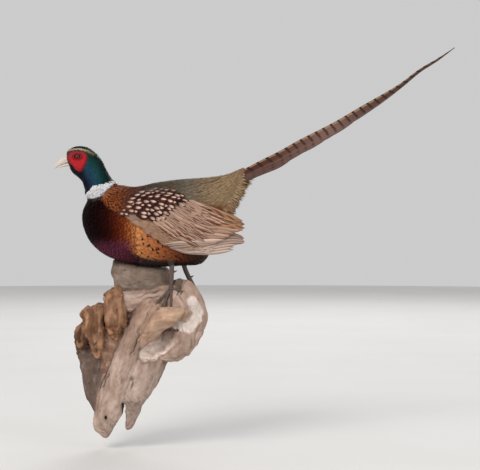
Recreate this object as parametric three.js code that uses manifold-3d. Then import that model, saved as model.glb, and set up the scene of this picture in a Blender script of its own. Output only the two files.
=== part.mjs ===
// A cock ring-necked pheasant, mounted standing on a piece of driftwood that hangs on a wall.
// Millimetres, +Z up. The wall is the plane y = 0 and the bird stands out from it towards -Y.
// The bird faces -X, so that its left side is its -Y side; its middle plane is y = MIDPLANE.
// The origin is on the flat back of the driftwood, the face that lies against the wall.

import * as THREE from 'three';
import { LoftGeometry } from 'three/addons/geometries/LoftGeometry.js';
import { mergeVertices } from 'three/addons/utils/BufferGeometryUtils.js';
import Module from 'manifold-3d';

const wasm = await Module();
wasm.setup();

// ---- driving dimensions ----
const MIDPLANE = -90; // the bird's middle plane, so 90 mm out from the wall
const GAP = 0.35; // clearance between pieces that touch
const ROOM = 0.5; // growth of a faceted tube that clears another by the gap
const SEAM = 0.012; // in stations: about the same clearance, along the body
const FINEST = 0.03; // facets narrower than this are merged into their neighbours
const BODY_SIDES = 16; // facets round the head, neck and trunk
const STEPS = 2; // rings between two named stations

// The bird from the face to the tail root. Each station is a section across the body: its top
// point, its bottom point (x, z), and the half-width across, the feather coat included.
const BODY = {
  face: { top: [-153, 314], bottom: [-153, 312], half: 1 },
  brow: { top: [-152, 328], bottom: [-148, 299], half: 9.5 },
  forehead: { top: [-144, 335], bottom: [-141, 287], half: 13.5 },
  eye: { top: [-131, 339], bottom: [-129, 277], half: 16.5 },
  crown: { top: [-113, 337], bottom: [-122, 269], half: 17 },
  nape: { top: [-98, 327.5], bottom: [-119, 260], half: 17.5 },
  neckTop: { top: [-84.5, 312.5], bottom: [-117, 253], half: 19 },
  neckMiddle: { top: [-76.5, 296], bottom: [-117, 246], half: 22 },
  neckLow: { top: [-67.5, 280], bottom: [-116, 238], half: 26 },
  ring: { top: [-57.5, 269], bottom: [-116, 230], half: 32 },
  shoulder: { top: [-44, 262.5], bottom: [-119, 218], half: 41 },
  mantle: { top: [-25, 259], bottom: [-122, 201], half: 52 },
  breast: { top: [-4, 261], bottom: [-118, 176], half: 62 },
  back: { top: [20, 267], bottom: [-101, 146], half: 69 },
  keel: { top: [45, 271], bottom: [-70, 123], half: 73 },
  belly: { top: [72, 274], bottom: [-27, 110], half: 73 },
  loin: { top: [99, 276], bottom: [20, 104], half: 68 },
  thighs: { top: [123, 278], bottom: [68, 106], half: 60 },
  rump: { top: [140, 280], bottom: [109, 110], half: 51 },
  vent: { top: [156, 283], bottom: [129, 134], half: 41 },
  underTail: { top: [169, 287], bottom: [150, 163], half: 32 },
  tailCoverts: { top: [178, 291], bottom: [168, 208], half: 24 },
  tailRoot: { top: [186, 294], bottom: [182, 239], half: 17 },
  fringe: { top: [191, 296], bottom: [191, 256], half: 11 },
  lastCovert: { top: [197, 292], bottom: [198, 268], half: 4 },
};
const NAPE = 5; // station numbers at which the head, neck and trunk part
const RING = 9;

const EYE = { x: -130, z: 317.2, out: 12.4, radius: 5.4, rings: 6 };

const WATTLE = {
  lift: 1.3, // thickness of the bare red skin over the head
  reach: 30, // more than the head's half-width
  outline: [
    [-153, 316], [-151, 323], [-145, 328.5], [-132, 330.5], [-116, 327.5], [-110, 319], [-112, 307],
    [-120, 291], [-127, 287.5], [-134, 291.5], [-141, 299.5], [-150, 308],
  ],
};

// Bill stations from the face to the tip: top, bottom, half-width.
const BILL_SIDES = 10;
const BILL_UPPER = [
  { top: [-148, 321], bottom: [-143, 306], half: 6.6 },
  { top: [-156, 318.5], bottom: [-152, 305.4], half: 6.2 },
  { top: [-161, 317], bottom: [-159, 303.4], half: 5.2 },
  { top: [-166, 313.6], bottom: [-165, 301], half: 4.3 },
  { top: [-171.6, 307.6], bottom: [-170.4, 298.4], half: 3.1 },
  { top: [-176, 300.4], bottom: [-175, 295.4], half: 1.9 },
  { top: [-178.6, 294.6], bottom: [-177.6, 293.4], half: 0.7 },
];
const BILL_LOWER = [
  { top: [-143, 305.4], bottom: [-143, 299.6], half: 5.8 },
  { top: [-152, 304.8], bottom: [-151, 299.6], half: 5.2 },
  { top: [-159, 302.8], bottom: [-158, 298.6], half: 4.1 },
  { top: [-165, 300.4], bottom: [-165, 297.2], half: 2.9 },
  { top: [-170.4, 297.8], bottom: [-170.8, 295.8], half: 1.5 },
];

// A blade is a curved sheet, such as a folded wing or a tail feather: each row has its upper and
// lower edge (x, z), the distance of the upper edge, the middle and the lower edge from the
// bird's middle plane, and the thickness.
const WING_SIDES = 10;
const PRIMARIES_SIDES = 6;
const WING = [
  { top: [-35.5, 209.5], bottom: [-35, 202], out: [72, 73, 73.5], thick: 5 },
  { top: [-28, 223.5], bottom: [-26.5, 194], out: [69.5, 75, 75], thick: 10 },
  { top: [-9, 236], bottom: [-7.5, 179.5], out: [64, 79, 76], thick: 13 },
  { top: [18.5, 241], bottom: [19, 162], out: [63, 80.5, 72], thick: 14 },
  { top: [48.5, 239], bottom: [48.5, 143.5], out: [65, 79, 62.5], thick: 14 },
  { top: [81, 232], bottom: [80.5, 137.5], out: [64, 74.5, 58], thick: 14 },
  { top: [114.5, 223.5], bottom: [114.5, 141.5], out: [58, 67, 55], thick: 11 },
  { top: [147, 214], bottom: [147, 153.5], out: [52, 61, 54], thick: 8 },
  { top: [171.5, 204], bottom: [171.5, 167], out: [49, 55, 51], thick: 5 },
  { top: [186, 195.5], bottom: [185, 173], out: [46, 50, 48], thick: 3 },
  { top: [196, 182.5], bottom: [195, 176], out: [45, 45.5, 45], thick: 1.4 },
];
const PRIMARIES = [
  { top: [51.5, 158], bottom: [49, 140.5], out: [60, 60, 56], thick: 4 },
  { top: [80.5, 154.5], bottom: [80, 131], out: [57, 56.5, 49], thick: 7 },
  { top: [109, 155], bottom: [108.5, 128.5], out: [54, 55, 47], thick: 7 },
  { top: [137, 163], bottom: [137, 129.5], out: [52, 53, 46], thick: 5 },
  { top: [166.5, 168], bottom: [166.5, 134], out: [48, 49, 43], thick: 4 },
  { top: [186, 164], bottom: [185, 139], out: [45, 45.5, 42], thick: 3 },
  { top: [195, 158], bottom: [194, 144.5], out: [43.5, 44, 41.5], thick: 2.4 },
  { top: [199, 153], bottom: [199, 148.5], out: [42.5, 42.6, 42], thick: 1.4 },
];

// The tail is a steep roof. The middle pair of feathers makes the ridge, and the shorter
// feathers step down each side of it. Ridge points run from the root to the tip.
const RIDGE = [
  [170, 282], [224, 310.5], [263, 330], [302, 352], [367, 385], [419, 415.5],
  [458, 437.5], [497, 461], [536, 490], [571, 510.5], [604, 532],
];
const ROOF_SLOPE = 0.72; // spread of an eave for each millimetre that it hangs below the ridge
const ROOF_BOW = 0.62; // share of that spread reached half-way down
const EAVE_SLANT = 0.12; // how far back an eave lies, for each millimetre below the ridge
const RIDGE_HALF = 0.35; // distance of the ridge's edges from the middle plane
const MIDDLE_DEPTHS = [13, 16, 17, 18, 20, 20, 15.8, 10, 7, 5, 1.4];
// Each pair beside the middle one: its end along X, and its depth below the ridge at root and end.
const SIDE_FEATHERS = [
  { end: 228, rootDepth: 24, endDepth: 32 },
  { end: 302, rootDepth: 22, endDepth: 35 },
  { end: 367, rootDepth: 20, endDepth: 30 },
  { end: 423, rootDepth: 16, endDepth: 25 },
];
const ROUNDING = 34; // length of the rounded end of a side feather
const BLUNT_DEPTH = 13; // depth left at that end
const VANE = 1.6; // thickness of the middle tail feathers
const SIDE_VANE = 3.4; // thickness of a side feather with the ones under it
const VANE_SIDES = 6;
const LAYER = 1.2; // step inwards from one tail feather to the next
const LAYER_LIMIT = 0.4; // but no more than this share of the spread

// Legs. Paths run [x, y, z]; the far foot stands behind the crest of the burl. The claws curl by
// this much of their length as they leave the toes.
const LEGS = {
  left: {
    thigh: [[40, -116, 146], [49, -117, 122], [54, -117, 107]],
    shank: [[54, -117, 112], [53.4, -116.6, 96], [52, -114.5, 62]],
    spur: [[55, -116, 95], [64, -114, 97]],
    curl: [0, 0.15, -0.1],
    toes: {
      inner: [[50, -113, 60], [41, -112, 51], [33, -112.5, 43], [26, -119, 35]],
      middle: [[51, -114, 60], [46, -113, 50], [42, -113, 40], [39.5, -116, 31]],
      outer: [[53, -115, 60], [53, -116, 49], [53, -117, 40], [52, -118.5, 31]],
      hind: [[54, -115, 62], [60, -118.5, 62], [66, -121, 60]],
    },
  },
  right: {
    thigh: [[62, -66, 146], [70, -65, 122], [76, -65, 106]],
    shank: [[74, -65, 112], [78, -64, 96], [96, -54, 58]],
    spur: [[85, -60, 82], [94, -61, 86]],
    curl: [0, 0, -0.3],
    toes: {
      inner: [[95, -56, 58.5], [86, -56, 61], [76, -57, 62.5], [66, -58, 63]],
      middle: [[95, -54, 58.5], [86, -46, 61], [76, -39, 62.5], [67, -32, 63]],
      outer: [[97, -52, 58], [92, -42, 59.5], [87, -33, 60.5], [82, -24, 60.5]],
      hind: [[98, -56, 57.5], [102, -60, 53.5], [105, -64, 49]],
    },
  },
};
const THIGH_RADIUS = 16;
const THIGH_END = 6.4; // radius where the feathering of the thigh stops
const SHANK_RADIUS = 4.6;
const HEEL_SWELLING = 1.15; // the foot's knob against the shank's radius
const TOE_RADIUS = { inner: 3.3, middle: 3.6, outer: 3.2, hind: 2.8 };
const TOE_TAPER = 0.72; // a toe's end against its root
const TOE_SIDES = 5;
const CLAW_SIDES = 4;
const CLAW = { length: 10, rootShare: 0.62, tipRadius: 0.35, clearance: 0.9, socket: 0.4 };
const SPUR_RADII = [2.6, 0.5];

// Driftwood. The sawn back lies in the plane y = 0. Its outline runs clockwise from the top left.
const BACK_OUTLINE = [
  [-56, 111], [-64, 101], [-60, 84.5], [-59, 70.5], [-82.5, 42], [-78.5, 28.5], [-96.5, 28.5],
  [-113, 23.5], [-125, 9.5], [-124, -9], [-137.5, -31.5], [-137.5, -49.5], [-140.5, -61], [-133.5, -84],
  [-129.5, -112.5], [-125, -141], [-117, -163.5], [-105, -177.5], [-101, -192], [-64, -202], [-49, -182],
  [-23.5, -182], [-5, -165.5], [7, -146], [18, -136], [26.5, -120], [33.5, -102.5], [40.5, -85],
  [68, -80], [84.5, -67], [97.5, -50.5], [106.5, -31.5], [113, -11], [111, 9.5], [106.5, 32], [98.5, 47],
  [88.5, 54], [72, 57], [54, 58], [41.5, 64.5], [40.5, 99], [7, 105], [-23.5, 111],
];
const BACK_THICKNESS = 46;
const LIMB_START = 6; // how far from the wall the limbs begin
const LIMB_SIDES = 8;
// The limbs in front of it: each row is a section, with its two edges (x, z) and how far the wood
// stands out from the wall there. Squareness 1 is round, 0.5 is nearly square.
const LIMBS = {
  block: { square: 0.45, rows: [
    { a: [-68, 97], b: [-68, 90.5], out: 84 }, { a: [-64, 107], b: [-62, 78.5], out: 92 },
    { a: [-58, 118], b: [-54, 56], out: 98 }, { a: [-23.5, 111], b: [-19.5, 54], out: 104 },
    { a: [17, 105], b: [17, 56], out: 100 }, { a: [37.5, 101], b: [37.5, 58], out: 92 },
    { a: [42.5, 97], b: [43.5, 62.5], out: 84 },
  ] },
  ledge: { square: 0.7, rows: [
    { a: [-85.5, 44], b: [-82.5, 34], out: 70 }, { a: [-70.5, 58], b: [-64, 13.5], out: 96 },
    { a: [-33.5, 62.5], b: [-33.5, 7.5], out: 106 }, { a: [7, 64.5], b: [7, 7.5], out: 108 },
    { a: [41.5, 68.5], b: [43.5, 17.5], out: 112 }, { a: [56, 72.5], b: [62, 27.5], out: 108 },
  ] },
  knotUpper: { square: 0.6, rows: [
    { a: [-68, 57], b: [-43, 58], out: 106 }, { a: [-74.5, 44], b: [-40, 46], out: 122 },
    { a: [-74.5, 17.5], b: [-36.5, 17.5], out: 128 }, { a: [-76.5, -5], b: [-33.5, -3], out: 124 },
    { a: [-70, -26], b: [-38, -22], out: 112 },
  ] },
  knotLower: { square: 0.6, rows: [
    { a: [-115, 22], b: [-78, 26], out: 98 }, { a: [-124, 11.5], b: [-76.5, 19.5], out: 112 },
    { a: [-120, -9], b: [-78.5, -1], out: 116 }, { a: [-114, -31.5], b: [-78.5, -25], out: 112 },
    { a: [-106, -53.5], b: [-82, -49.5], out: 102 }, { a: [-98, -74], b: [-88, -74], out: 88 },
  ] },
  leftLobe: { square: 0.8, rows: [
    { a: [-131.5, -11], b: [-115, -7], out: 70 }, { a: [-138.5, -27], b: [-111, -25], out: 92 },
    { a: [-138.5, -47.5], b: [-115, -45.5], out: 84 }, { a: [-135.5, -60], b: [-121, -57.5], out: 64 },
  ] },
  diagonal: { square: 0.75, overHollow: true, rows: [
    { a: [11, 44], b: [33.5, 40], out: 108 }, { a: [-7, 32], b: [41.5, 29.5], out: 124 },
    { a: [-29.5, 1.5], b: [30, 3.5], out: 130 }, { a: [-48, -37.5], b: [0, -33.5], out: 122 },
    { a: [-66, -80], b: [-15, -74], out: 110 }, { a: [-84.5, -121], b: [-28, -116.5], out: 98 },
    { a: [-97.5, -159.5], b: [-42, -159.5], out: 82 }, { a: [-104, -190], b: [-48, -186], out: 72 },
    { a: [-107, -216.5], b: [-64, -214.5], out: 60 }, { a: [-94.5, -232.5], b: [-75.5, -232.5], out: 48 },
    { a: [-88.5, -240], b: [-81.5, -240], out: 34 },
  ] },
  branch: { square: 0.85, overHollow: true, rows: [
    { a: [86.5, 25.5], b: [87.5, 13.5], out: 116 }, { a: [78, 28.5], b: [80, 5.5], out: 130 },
    { a: [54, 28.5], b: [56, -11], out: 138 }, { a: [25.5, 19.5], b: [29.5, -27], out: 134 },
    { a: [-7, -3], b: [5, -45.5], out: 124 }, { a: [-27.5, -27], b: [-15.5, -66], out: 110 },
  ] },
  seat: { square: 0.5, rows: [
    { a: [37.5, 60], b: [37.5, -23], out: 80 }, { a: [58, 60], b: [58, -43.5], out: 84 },
    { a: [82.5, 59], b: [82.5, -53.5], out: 86 }, { a: [98.5, 52], b: [98.5, -39.5], out: 84 },
    { a: [111, 27.5], b: [108.5, -25], out: 78 },
  ] },
  burl: { square: 0.75, from: 78, rows: [
    { a: [45.5, 68.5], b: [41.5, 9.5], out: 106 }, { a: [56, 77.5], b: [52, -13], out: 118 },
    { a: [72, 80], b: [68, -43.5], out: 124 }, { a: [86.5, 77], b: [82.5, -70], out: 122 },
    { a: [102.5, 62.5], b: [96.5, -55.5], out: 116 }, { a: [115, 36], b: [111, -31.5], out: 106 },
    { a: [122.5, 11.5], b: [120, -9], out: 92 },
  ] },
  apron: { square: 0.8, rows: [
    { a: [-22, -30], b: [-22, -78], out: 86 }, { a: [21.5, -24], b: [21.5, -82], out: 96 },
    { a: [41.5, -14], b: [41.5, -84], out: 104 }, { a: [62, -6], b: [64, -82], out: 112 },
    { a: [82, -8], b: [85, -68], out: 117 }, { a: [102, -14], b: [102, -46], out: 112 },
  ] },
  core: { square: 0.6, rows: [
    { a: [-104, -8], b: [-104, -58], out: 76 }, { a: [-86, 20], b: [-86, -84], out: 86 },
    { a: [-60, 40], b: [-66, -112], out: 92 }, { a: [-34, 44], b: [-44, -120], out: 94 },
    { a: [0, 44], b: [-16, -110], out: 92 }, { a: [30, 42], b: [26, -70], out: 88 },
    { a: [46, 38], b: [46, -40], out: 80 },
  ] },
  leftPanel: { square: 0.7, rows: [
    { a: [-133.5, -64], b: [-84.5, -64], out: 66 }, { a: [-131.5, -88], b: [-78.5, -88], out: 66 },
    { a: [-127, -129], b: [-82.5, -129], out: 62 }, { a: [-117, -161.5], b: [-88.5, -163.5], out: 58 },
    { a: [-106, -182], b: [-94.5, -184], out: 52 },
  ] },
  lowerPanel: { square: 0.7, rows: [
    { a: [-40, -72], b: [39.5, -80], out: 92 }, { a: [-52, -104.5], b: [31.5, -104.5], out: 92 },
    { a: [-58, -139], b: [13, -141], out: 84 }, { a: [-56, -163.5], b: [-6, -167.5], out: 74 },
    { a: [-42, -192], b: [-15.5, -188], out: 58 }, { a: [-44, -214.5], b: [-25.5, -212.5], out: 48 },
    { a: [-43, -222.5], b: [-33.5, -223.5], out: 34 },
  ] },
};
const HOLLOW = { at: [34, -118, -46], radii: [38, 34, 21], tilt: 0.8 };
const SLIT = [
  [-49, -163.5], [-42.5, -171.5], [-42, -202], [-45, -228.5], [-58, -228.5], [-50, -206], [-48.5, -186],
];
const SLIT_DEPTH = 120;
const PRONG_HOLE = { at: [-78.5, -193], radius: 3.4, length: 60 };
const BODY_ROOM = 1.2; // space between the bird's body and the wood below it

// Keyhole hanger let into the back.
const HANGER = {
  z: 44, width: 20, height: 52, thick: 1.6,
  keyhole: 9.5, keyholeDrop: 6, slot: 4.6, slotLength: 14, slotRise: 1,
  screwZ: 20, screwRadius: 2.2,
  pocket: 9, pocketWidth: 10.5, pocketHeight: 24, // hollow behind the keyhole
};

const LOOKS = {
  bill: { color: 0xe1d7c8, roughness: 0.35 },
  greenHead: { color: 0x11322d, roughness: 0.35 },
  blueNeck: { color: 0x1c4a58, roughness: 0.35 },
  wattle: { color: 0xb4202f, roughness: 0.55 },
  eye: { color: 0x6b3a12, roughness: 0.08 },
  trunk: { color: 0x8a5428, roughness: 0.6 },
  wing: { color: 0xa38a76, roughness: 0.65 },
  primaries: { color: 0xb8a698, roughness: 0.65 },
  tail: { color: 0x96735f, roughness: 0.6 },
  leg: { color: 0x6e5f59, roughness: 0.55 },
  claw: { color: 0x4a4038, roughness: 0.4 },
  wood: { color: 0xa08773, roughness: 0.85 },
  steel: { color: 0x9a9a9c, roughness: 0.4, metalness: 1 },
};

// ---- shape helpers ----

function v3(x, y, z) {
  return new THREE.Vector3(x, y, z);
}

// Smooth curve through values of any number of columns, taken at a station number t.
function column(rows, pick) {
  const points = rows.map((row) => v3(...pick(row)));
  const curve = new THREE.CatmullRomCurve3(points, false, 'catmullrom', 0.5);
  return (t) => curve.getPoint(t / (rows.length - 1));
}

// A section ring between two edge points, with an egg of the given half-width across.
function eggRing(top, bottom, nearY, farY, sides, square) {
  const ring = [];
  const bow = (value) => Math.sign(value) * Math.abs(value) ** square;
  for (let i = 0; i < sides; i += 1) {
    const angle = (i / sides) * 2 * Math.PI;
    const down = (1 - bow(Math.cos(angle))) / 2;
    const across = (1 + bow(Math.sin(angle))) / 2;
    const place = top.clone().lerp(bottom, down);
    ring.push(v3(place.x, nearY + (farY - nearY) * across, place.z));
  }
  return ring;
}

// Turns a geometry into a solid: shared corners merged, faces outwards.
function solid(geometry) {
  const bare = new THREE.BufferGeometry();
  bare.setAttribute('position', geometry.attributes.position);
  bare.setIndex(geometry.index);
  const merged = mergeVertices(bare, 1e-4);
  const places = merged.attributes.position.array;
  const corners = [];
  const index = merged.index.array;
  for (let i = 0; i < index.length; i += 3) {
    const [a, b, c] = [index[i], index[i + 1], index[i + 2]];
    if (a !== b && b !== c && c !== a) {
      corners.push(a, b, c);
    }
  }
  let volume = 0;
  const at = (n) => v3(places[3 * n], places[3 * n + 1], places[3 * n + 2]);
  for (let i = 0; i < corners.length; i += 3) {
    volume += at(corners[i]).dot(at(corners[i + 1]).cross(at(corners[i + 2])));
  }
  if (volume < 0) {
    corners.reverse();
  }
  const mesh = new wasm.Mesh({
    numProp: 3,
    vertProperties: Float32Array.from(places),
    triVerts: Uint32Array.from(corners),
  });
  mesh.merge();
  return new wasm.Manifold(mesh);
}

function centroid(ring) {
  return ring.reduce((sum, point) => sum.add(point), v3(0, 0, 0)).divideScalar(ring.length);
}

// A closed skin through rings, which run anticlockwise as seen from the last one.
function loft(rings) {
  const centre = centroid(rings[0]);
  const spin = v3(0, 0, 0);
  rings[0].forEach((point, i) => {
    const next = rings[0][(i + 1) % rings[0].length];
    spin.add(point.clone().sub(centre).cross(next.clone().sub(centre)));
  });
  if (spin.dot(centroid(rings[1]).sub(centre)) < 0) {
    rings.forEach((ring) => ring.reverse());
  }
  return solid(new LoftGeometry(rings, { capStart: true, capEnd: true }));
}

// Station numbers from one end to the other, with a few rings between stations.
function stationSteps(from, to, perStation) {
  const count = Math.round((to - from) * perStation);
  return Array.from({ length: count + 1 }, (_, i) => from + ((to - from) * i) / count);
}

// The bird's body between two station numbers, grown outwards by an amount.
function bodyLoft(from, to, grow = 0) {
  const rows = Object.values(BODY);
  const top = column(rows, (row) => [row.top[0], 0, row.top[1]]);
  const bottom = column(rows, (row) => [row.bottom[0], 0, row.bottom[1]]);
  const half = column(rows, (row) => [row.half, 0, 0]);
  const rings = stationSteps(from, to, STEPS).map((t) => {
    const upper = top(t);
    const lower = bottom(t);
    const away = upper.clone().sub(lower).normalize().multiplyScalar(grow);
    const wide = half(t).x + grow;
    return eggRing(upper.add(away), lower.sub(away), MIDPLANE - wide, MIDPLANE + wide, BODY_SIDES, 1);
  });
  return loft(rings);
}

function billLoft(rows, grow = 0) {
  const rings = rows.map(({ top, bottom, half }) => {
    const upper = v3(top[0], 0, top[1] + grow);
    const lower = v3(bottom[0], 0, bottom[1] - grow);
    const wide = half + grow;
    return eggRing(upper, lower, MIDPLANE - wide, MIDPLANE + wide, BILL_SIDES, 1);
  });
  return loft(rings);
}

// A blade on one side of the bird: side is -1 for left, 1 for right.
function blade(rows, side, sides) {
  const top = column(rows, (row) => [row.top[0], 0, row.top[1]]);
  const bottom = column(rows, (row) => [row.bottom[0], 0, row.bottom[1]]);
  const out = column(rows, (row) => row.out);
  const thick = column(rows, (row) => [row.thick, 0, 0]);
  const rings = stationSteps(0, rows.length - 1, 1).map((t) => {
    const [upper, middle, lower] = out(t).toArray();
    return Array.from({ length: sides }, (_, i) => {
      const angle = (i / sides) * 2 * Math.PI;
      const u = Math.cos(angle);
      const bend = middle + ((upper - lower) / 2) * u + ((upper + lower) / 2 - middle) * u * u;
      const inwards = Math.max(0, -Math.sin(angle)) * thick(t).x;
      const place = top(t).lerp(bottom(t), (1 - u) / 2);
      return v3(place.x, MIDPLANE + side * (bend - inwards), place.z);
    });
  });
  return loft(rings);
}

// A round limb along a path, its radius running evenly from one end to the other.
function limb(points, startRadius, endRadius, sides, steps) {
  const curve = new THREE.CatmullRomCurve3(points.map((p) => v3(...p)));
  const frames = curve.computeFrenetFrames(steps, false);
  const rings = stationSteps(0, steps, 1).map((step) => {
    const centre = curve.getPointAt(step / steps);
    const radius = startRadius + ((endRadius - startRadius) * step) / steps;
    return Array.from({ length: sides }, (_, i) => {
      const angle = (i / sides) * 2 * Math.PI;
      return centre.clone()
        .addScaledVector(frames.normals[step], radius * Math.cos(angle))
        .addScaledVector(frames.binormals[step], radius * Math.sin(angle));
    });
  });
  return loft(rings);
}

function ball(x, y, z, radius, rings) {
  return solid(new THREE.SphereGeometry(radius, rings * 2, rings).translate(x, y, z));
}

// A prism on an outline of the XZ plane, between two distances from the wall.
function prism(outline, nearY, farY) {
  const shape = new THREE.Shape(outline.map(([x, z]) => new THREE.Vector2(x, z)));
  const geometry = new THREE.ExtrudeGeometry(shape, { depth: nearY - farY, bevelEnabled: false });
  geometry.rotateX(Math.PI / 2);
  geometry.translate(0, nearY, 0);
  return solid(geometry);
}

const group = new THREE.Group();

// Keeps the largest piece of a solid as a named mesh of the group.
function add(name, manifold, look) {
  const [largest] = manifold.decompose().sort((a, b) => b.volume() - a.volume());
  const mesh = largest.asOriginal().simplify(FINEST).getMesh();
  const geometry = new THREE.BufferGeometry();
  geometry.setAttribute('position', new THREE.BufferAttribute(mesh.vertProperties, 3));
  geometry.setIndex(new THREE.BufferAttribute(mesh.triVerts, 1));
  geometry.computeVertexNormals();
  const part = new THREE.Mesh(geometry, new THREE.MeshStandardMaterial(LOOKS[look]));
  part.name = name;
  group.add(part);
  return largest;
}

// The room that a piece needs: the piece itself and its copies shifted by the gap each way.
function roomFor(piece) {
  const shifts = [[GAP, 0, 0], [-GAP, 0, 0], [0, GAP, 0], [0, -GAP, 0], [0, 0, GAP], [0, 0, -GAP]];
  return shifts.reduce((sum, shift) => sum.add(piece.translate(shift)), piece);
}

// Everything on one side of the bird's middle plane.
function sideRoom(side) {
  const reach = 2000;
  const middle = MIDPLANE + (side * (reach + GAP)) / 2;
  return solid(new THREE.BoxGeometry(reach, reach, reach).translate(0, middle, 0));
}

// ---- the bird ----

const SIDES = { left: -1, right: 1 };
const LAST_STATION = Object.keys(BODY).length - 1;
const wholeBody = bodyLoft(0, LAST_STATION, GAP);

function buildHead() {
  const wattlePrism = prism(WATTLE.outline, MIDPLANE + WATTLE.reach, MIDPLANE - WATTLE.reach);
  const rind = bodyLoft(0, NAPE, GAP + WATTLE.lift).subtract(bodyLoft(0, NAPE, GAP));
  let skull = bodyLoft(0, NAPE - SEAM);
  for (const [name, side] of Object.entries(SIDES)) {
    const y = MIDPLANE + side * EYE.out;
    const socket = ball(EYE.x, y, EYE.z, EYE.radius + ROOM, EYE.rings);
    const skin = rind.intersect(wattlePrism).intersect(sideRoom(side));
    skull = skull.subtract(socket);
    add(`eye_${name}`, ball(EYE.x, y, EYE.z, EYE.radius, EYE.rings), 'eye');
    add(`wattle_${name}`, skin.subtract(socket).subtract(billEnvelope), 'wattle');
  }
  add('head', skull, 'greenHead');
}

const billUpper = billLoft(BILL_UPPER).subtract(bodyLoft(0, NAPE, GAP));
const billLower = billLoft(BILL_LOWER).subtract(bodyLoft(0, NAPE, GAP)).subtract(billLoft(BILL_UPPER, GAP));
const billEnvelope = billLoft(BILL_UPPER, GAP).add(billLoft(BILL_LOWER, GAP));
add('bill_upper', billUpper, 'bill');
add('bill_lower', billLower, 'bill');
buildHead();
add('neck', bodyLoft(NAPE + SEAM, RING - SEAM), 'blueNeck');
add('trunk', bodyLoft(RING + SEAM, LAST_STATION), 'trunk');

function buildWing(name, side) {
  const wing = add(`wing_${name}`, blade(WING, side, WING_SIDES).subtract(wholeBody), 'wing');
  const primaries = blade(PRIMARIES, side, PRIMARIES_SIDES).subtract(wholeBody).subtract(roomFor(wing));
  add(`primaries_${name}`, primaries, 'primaries');
}

// One side of a tail feather: it hangs from the ridge like one slope of a roof.
function tailVane(side, end, depthAt, layer, thick) {
  const ridge = RIDGE.filter(([x]) => x < end);
  const last = RIDGE[ridge.length];
  if (last) {
    const [x, z] = ridge[ridge.length - 1];
    ridge.push([end, z + ((last[1] - z) * (end - x)) / (last[0] - x)]);
  }
  const rows = ridge.map(([x, z], i) => {
    const depth = depthAt(x, i);
    const spread = depth * ROOF_SLOPE;
    const inset = Math.min(layer * LAYER, spread * LAYER_LIMIT);
    return {
      top: [x, z - inset * LAYER_LIMIT],
      bottom: [x + depth * EAVE_SLANT, z - depth],
      out: [RIDGE_HALF, spread * ROOF_BOW - inset, spread - inset],
      thick,
    };
  });
  return blade(rows, side, VANE_SIDES);
}

// A side feather hangs deeper towards its end, which is then rounded off.
function sideVane(side, { end, rootDepth, endDepth }, layer) {
  const start = RIDGE[0][0];
  const depthAt = (x) => {
    const full = rootDepth + ((endDepth - rootDepth) * (x - start)) / (end - start);
    const past = Math.max(0, (x - end + ROUNDING) / ROUNDING);
    return BLUNT_DEPTH + (full - BLUNT_DEPTH) * Math.sqrt(1 - past ** 2);
  };
  return tailVane(side, end, depthAt, layer, SIDE_VANE);
}

function buildTail(name, side) {
  const tip = RIDGE[RIDGE.length - 1][0];
  const ownSide = sideRoom(side).subtract(wholeBody);
  const middle = tailVane(side, tip, (_, i) => MIDDLE_DEPTHS[i], 0, VANE).intersect(ownSide);
  const bundle = SIDE_FEATHERS.map((row, i) => sideVane(side, row, SIDE_FEATHERS.length - i))
    .reduce((sum, vane) => sum.add(vane));
  add(`tail_middle_${name}`, middle, 'tail');
  add(`tail_side_${name}`, bundle.subtract(roomFor(middle)).intersect(ownSide), 'tail');
}

// The claw on the end of a toe, and the room that it needs in the toe.
function buildClaw(name, path, radius, curl) {
  const [before, end] = path.slice(-2).map((p) => v3(...p));
  const along = end.clone().sub(before).normalize();
  const clawPath = [0, 0.5, 1].map((part) => end.clone()
    .addScaledVector(along, CLAW.clearance + CLAW.length * part)
    .addScaledVector(v3(...curl), CLAW.length * part * part).toArray());
  const root = radius * CLAW.rootShare;
  add(name, limb(clawPath, root, CLAW.tipRadius, CLAW_SIDES, 2), 'claw');
  const backwards = end.clone().addScaledVector(along, CLAW.socket).toArray();
  return limb([backwards, ...clawPath], root + ROOM, CLAW.tipRadius + ROOM, CLAW_SIDES, 3);
}

// A leg with its foot; what comes back is the room that it needs in the wood.
function buildLeg(name) {
  const { thigh, shank, spur, toes, curl } = LEGS[name];
  const shankSolid = limb(shank, SHANK_RADIUS, SHANK_RADIUS, 8, 3);
  const shankRoom = limb(shank, SHANK_RADIUS + ROOM, SHANK_RADIUS + ROOM, 8, 3);
  const thighSolid = limb(thigh, THIGH_RADIUS, THIGH_END, 10, 3);
  const heel = shank[shank.length - 1];
  const knob = SHANK_RADIUS * HEEL_SWELLING;
  let foot = ball(...heel, knob, 5);
  let grip = ball(...heel, knob + ROOM, 5).add(shankRoom);
  let claws = wasm.Manifold.compose([]);
  for (const [toe, path] of Object.entries(toes)) {
    const radius = TOE_RADIUS[toe];
    const end = radius * TOE_TAPER;
    foot = foot.add(limb(path, radius, end, TOE_SIDES, 3));
    grip = grip.add(limb(path, radius + ROOM, end + ROOM, TOE_SIDES, 3));
    claws = claws.add(buildClaw(`claw_${name}_${toe}`, path, radius, curl));
  }
  const spurSolid = limb(spur, ...SPUR_RADII, 6, 3).subtract(shankRoom);
  foot = foot.subtract(shankRoom).subtract(claws);
  add(`thigh_${name}`, thighSolid.subtract(wholeBody).subtract(shankRoom), 'trunk');
  add(`shank_${name}`, shankSolid.subtract(wholeBody), 'leg');
  add(`spur_${name}`, spurSolid, 'claw');
  add(`foot_${name}`, foot, 'leg');
  return grip.add(claws);
}

for (const [name, side] of Object.entries(SIDES)) {
  buildWing(name, side);
  buildTail(name, side);
}
const grips = Object.keys(SIDES).map(buildLeg);

// ---- the driftwood ----

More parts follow.
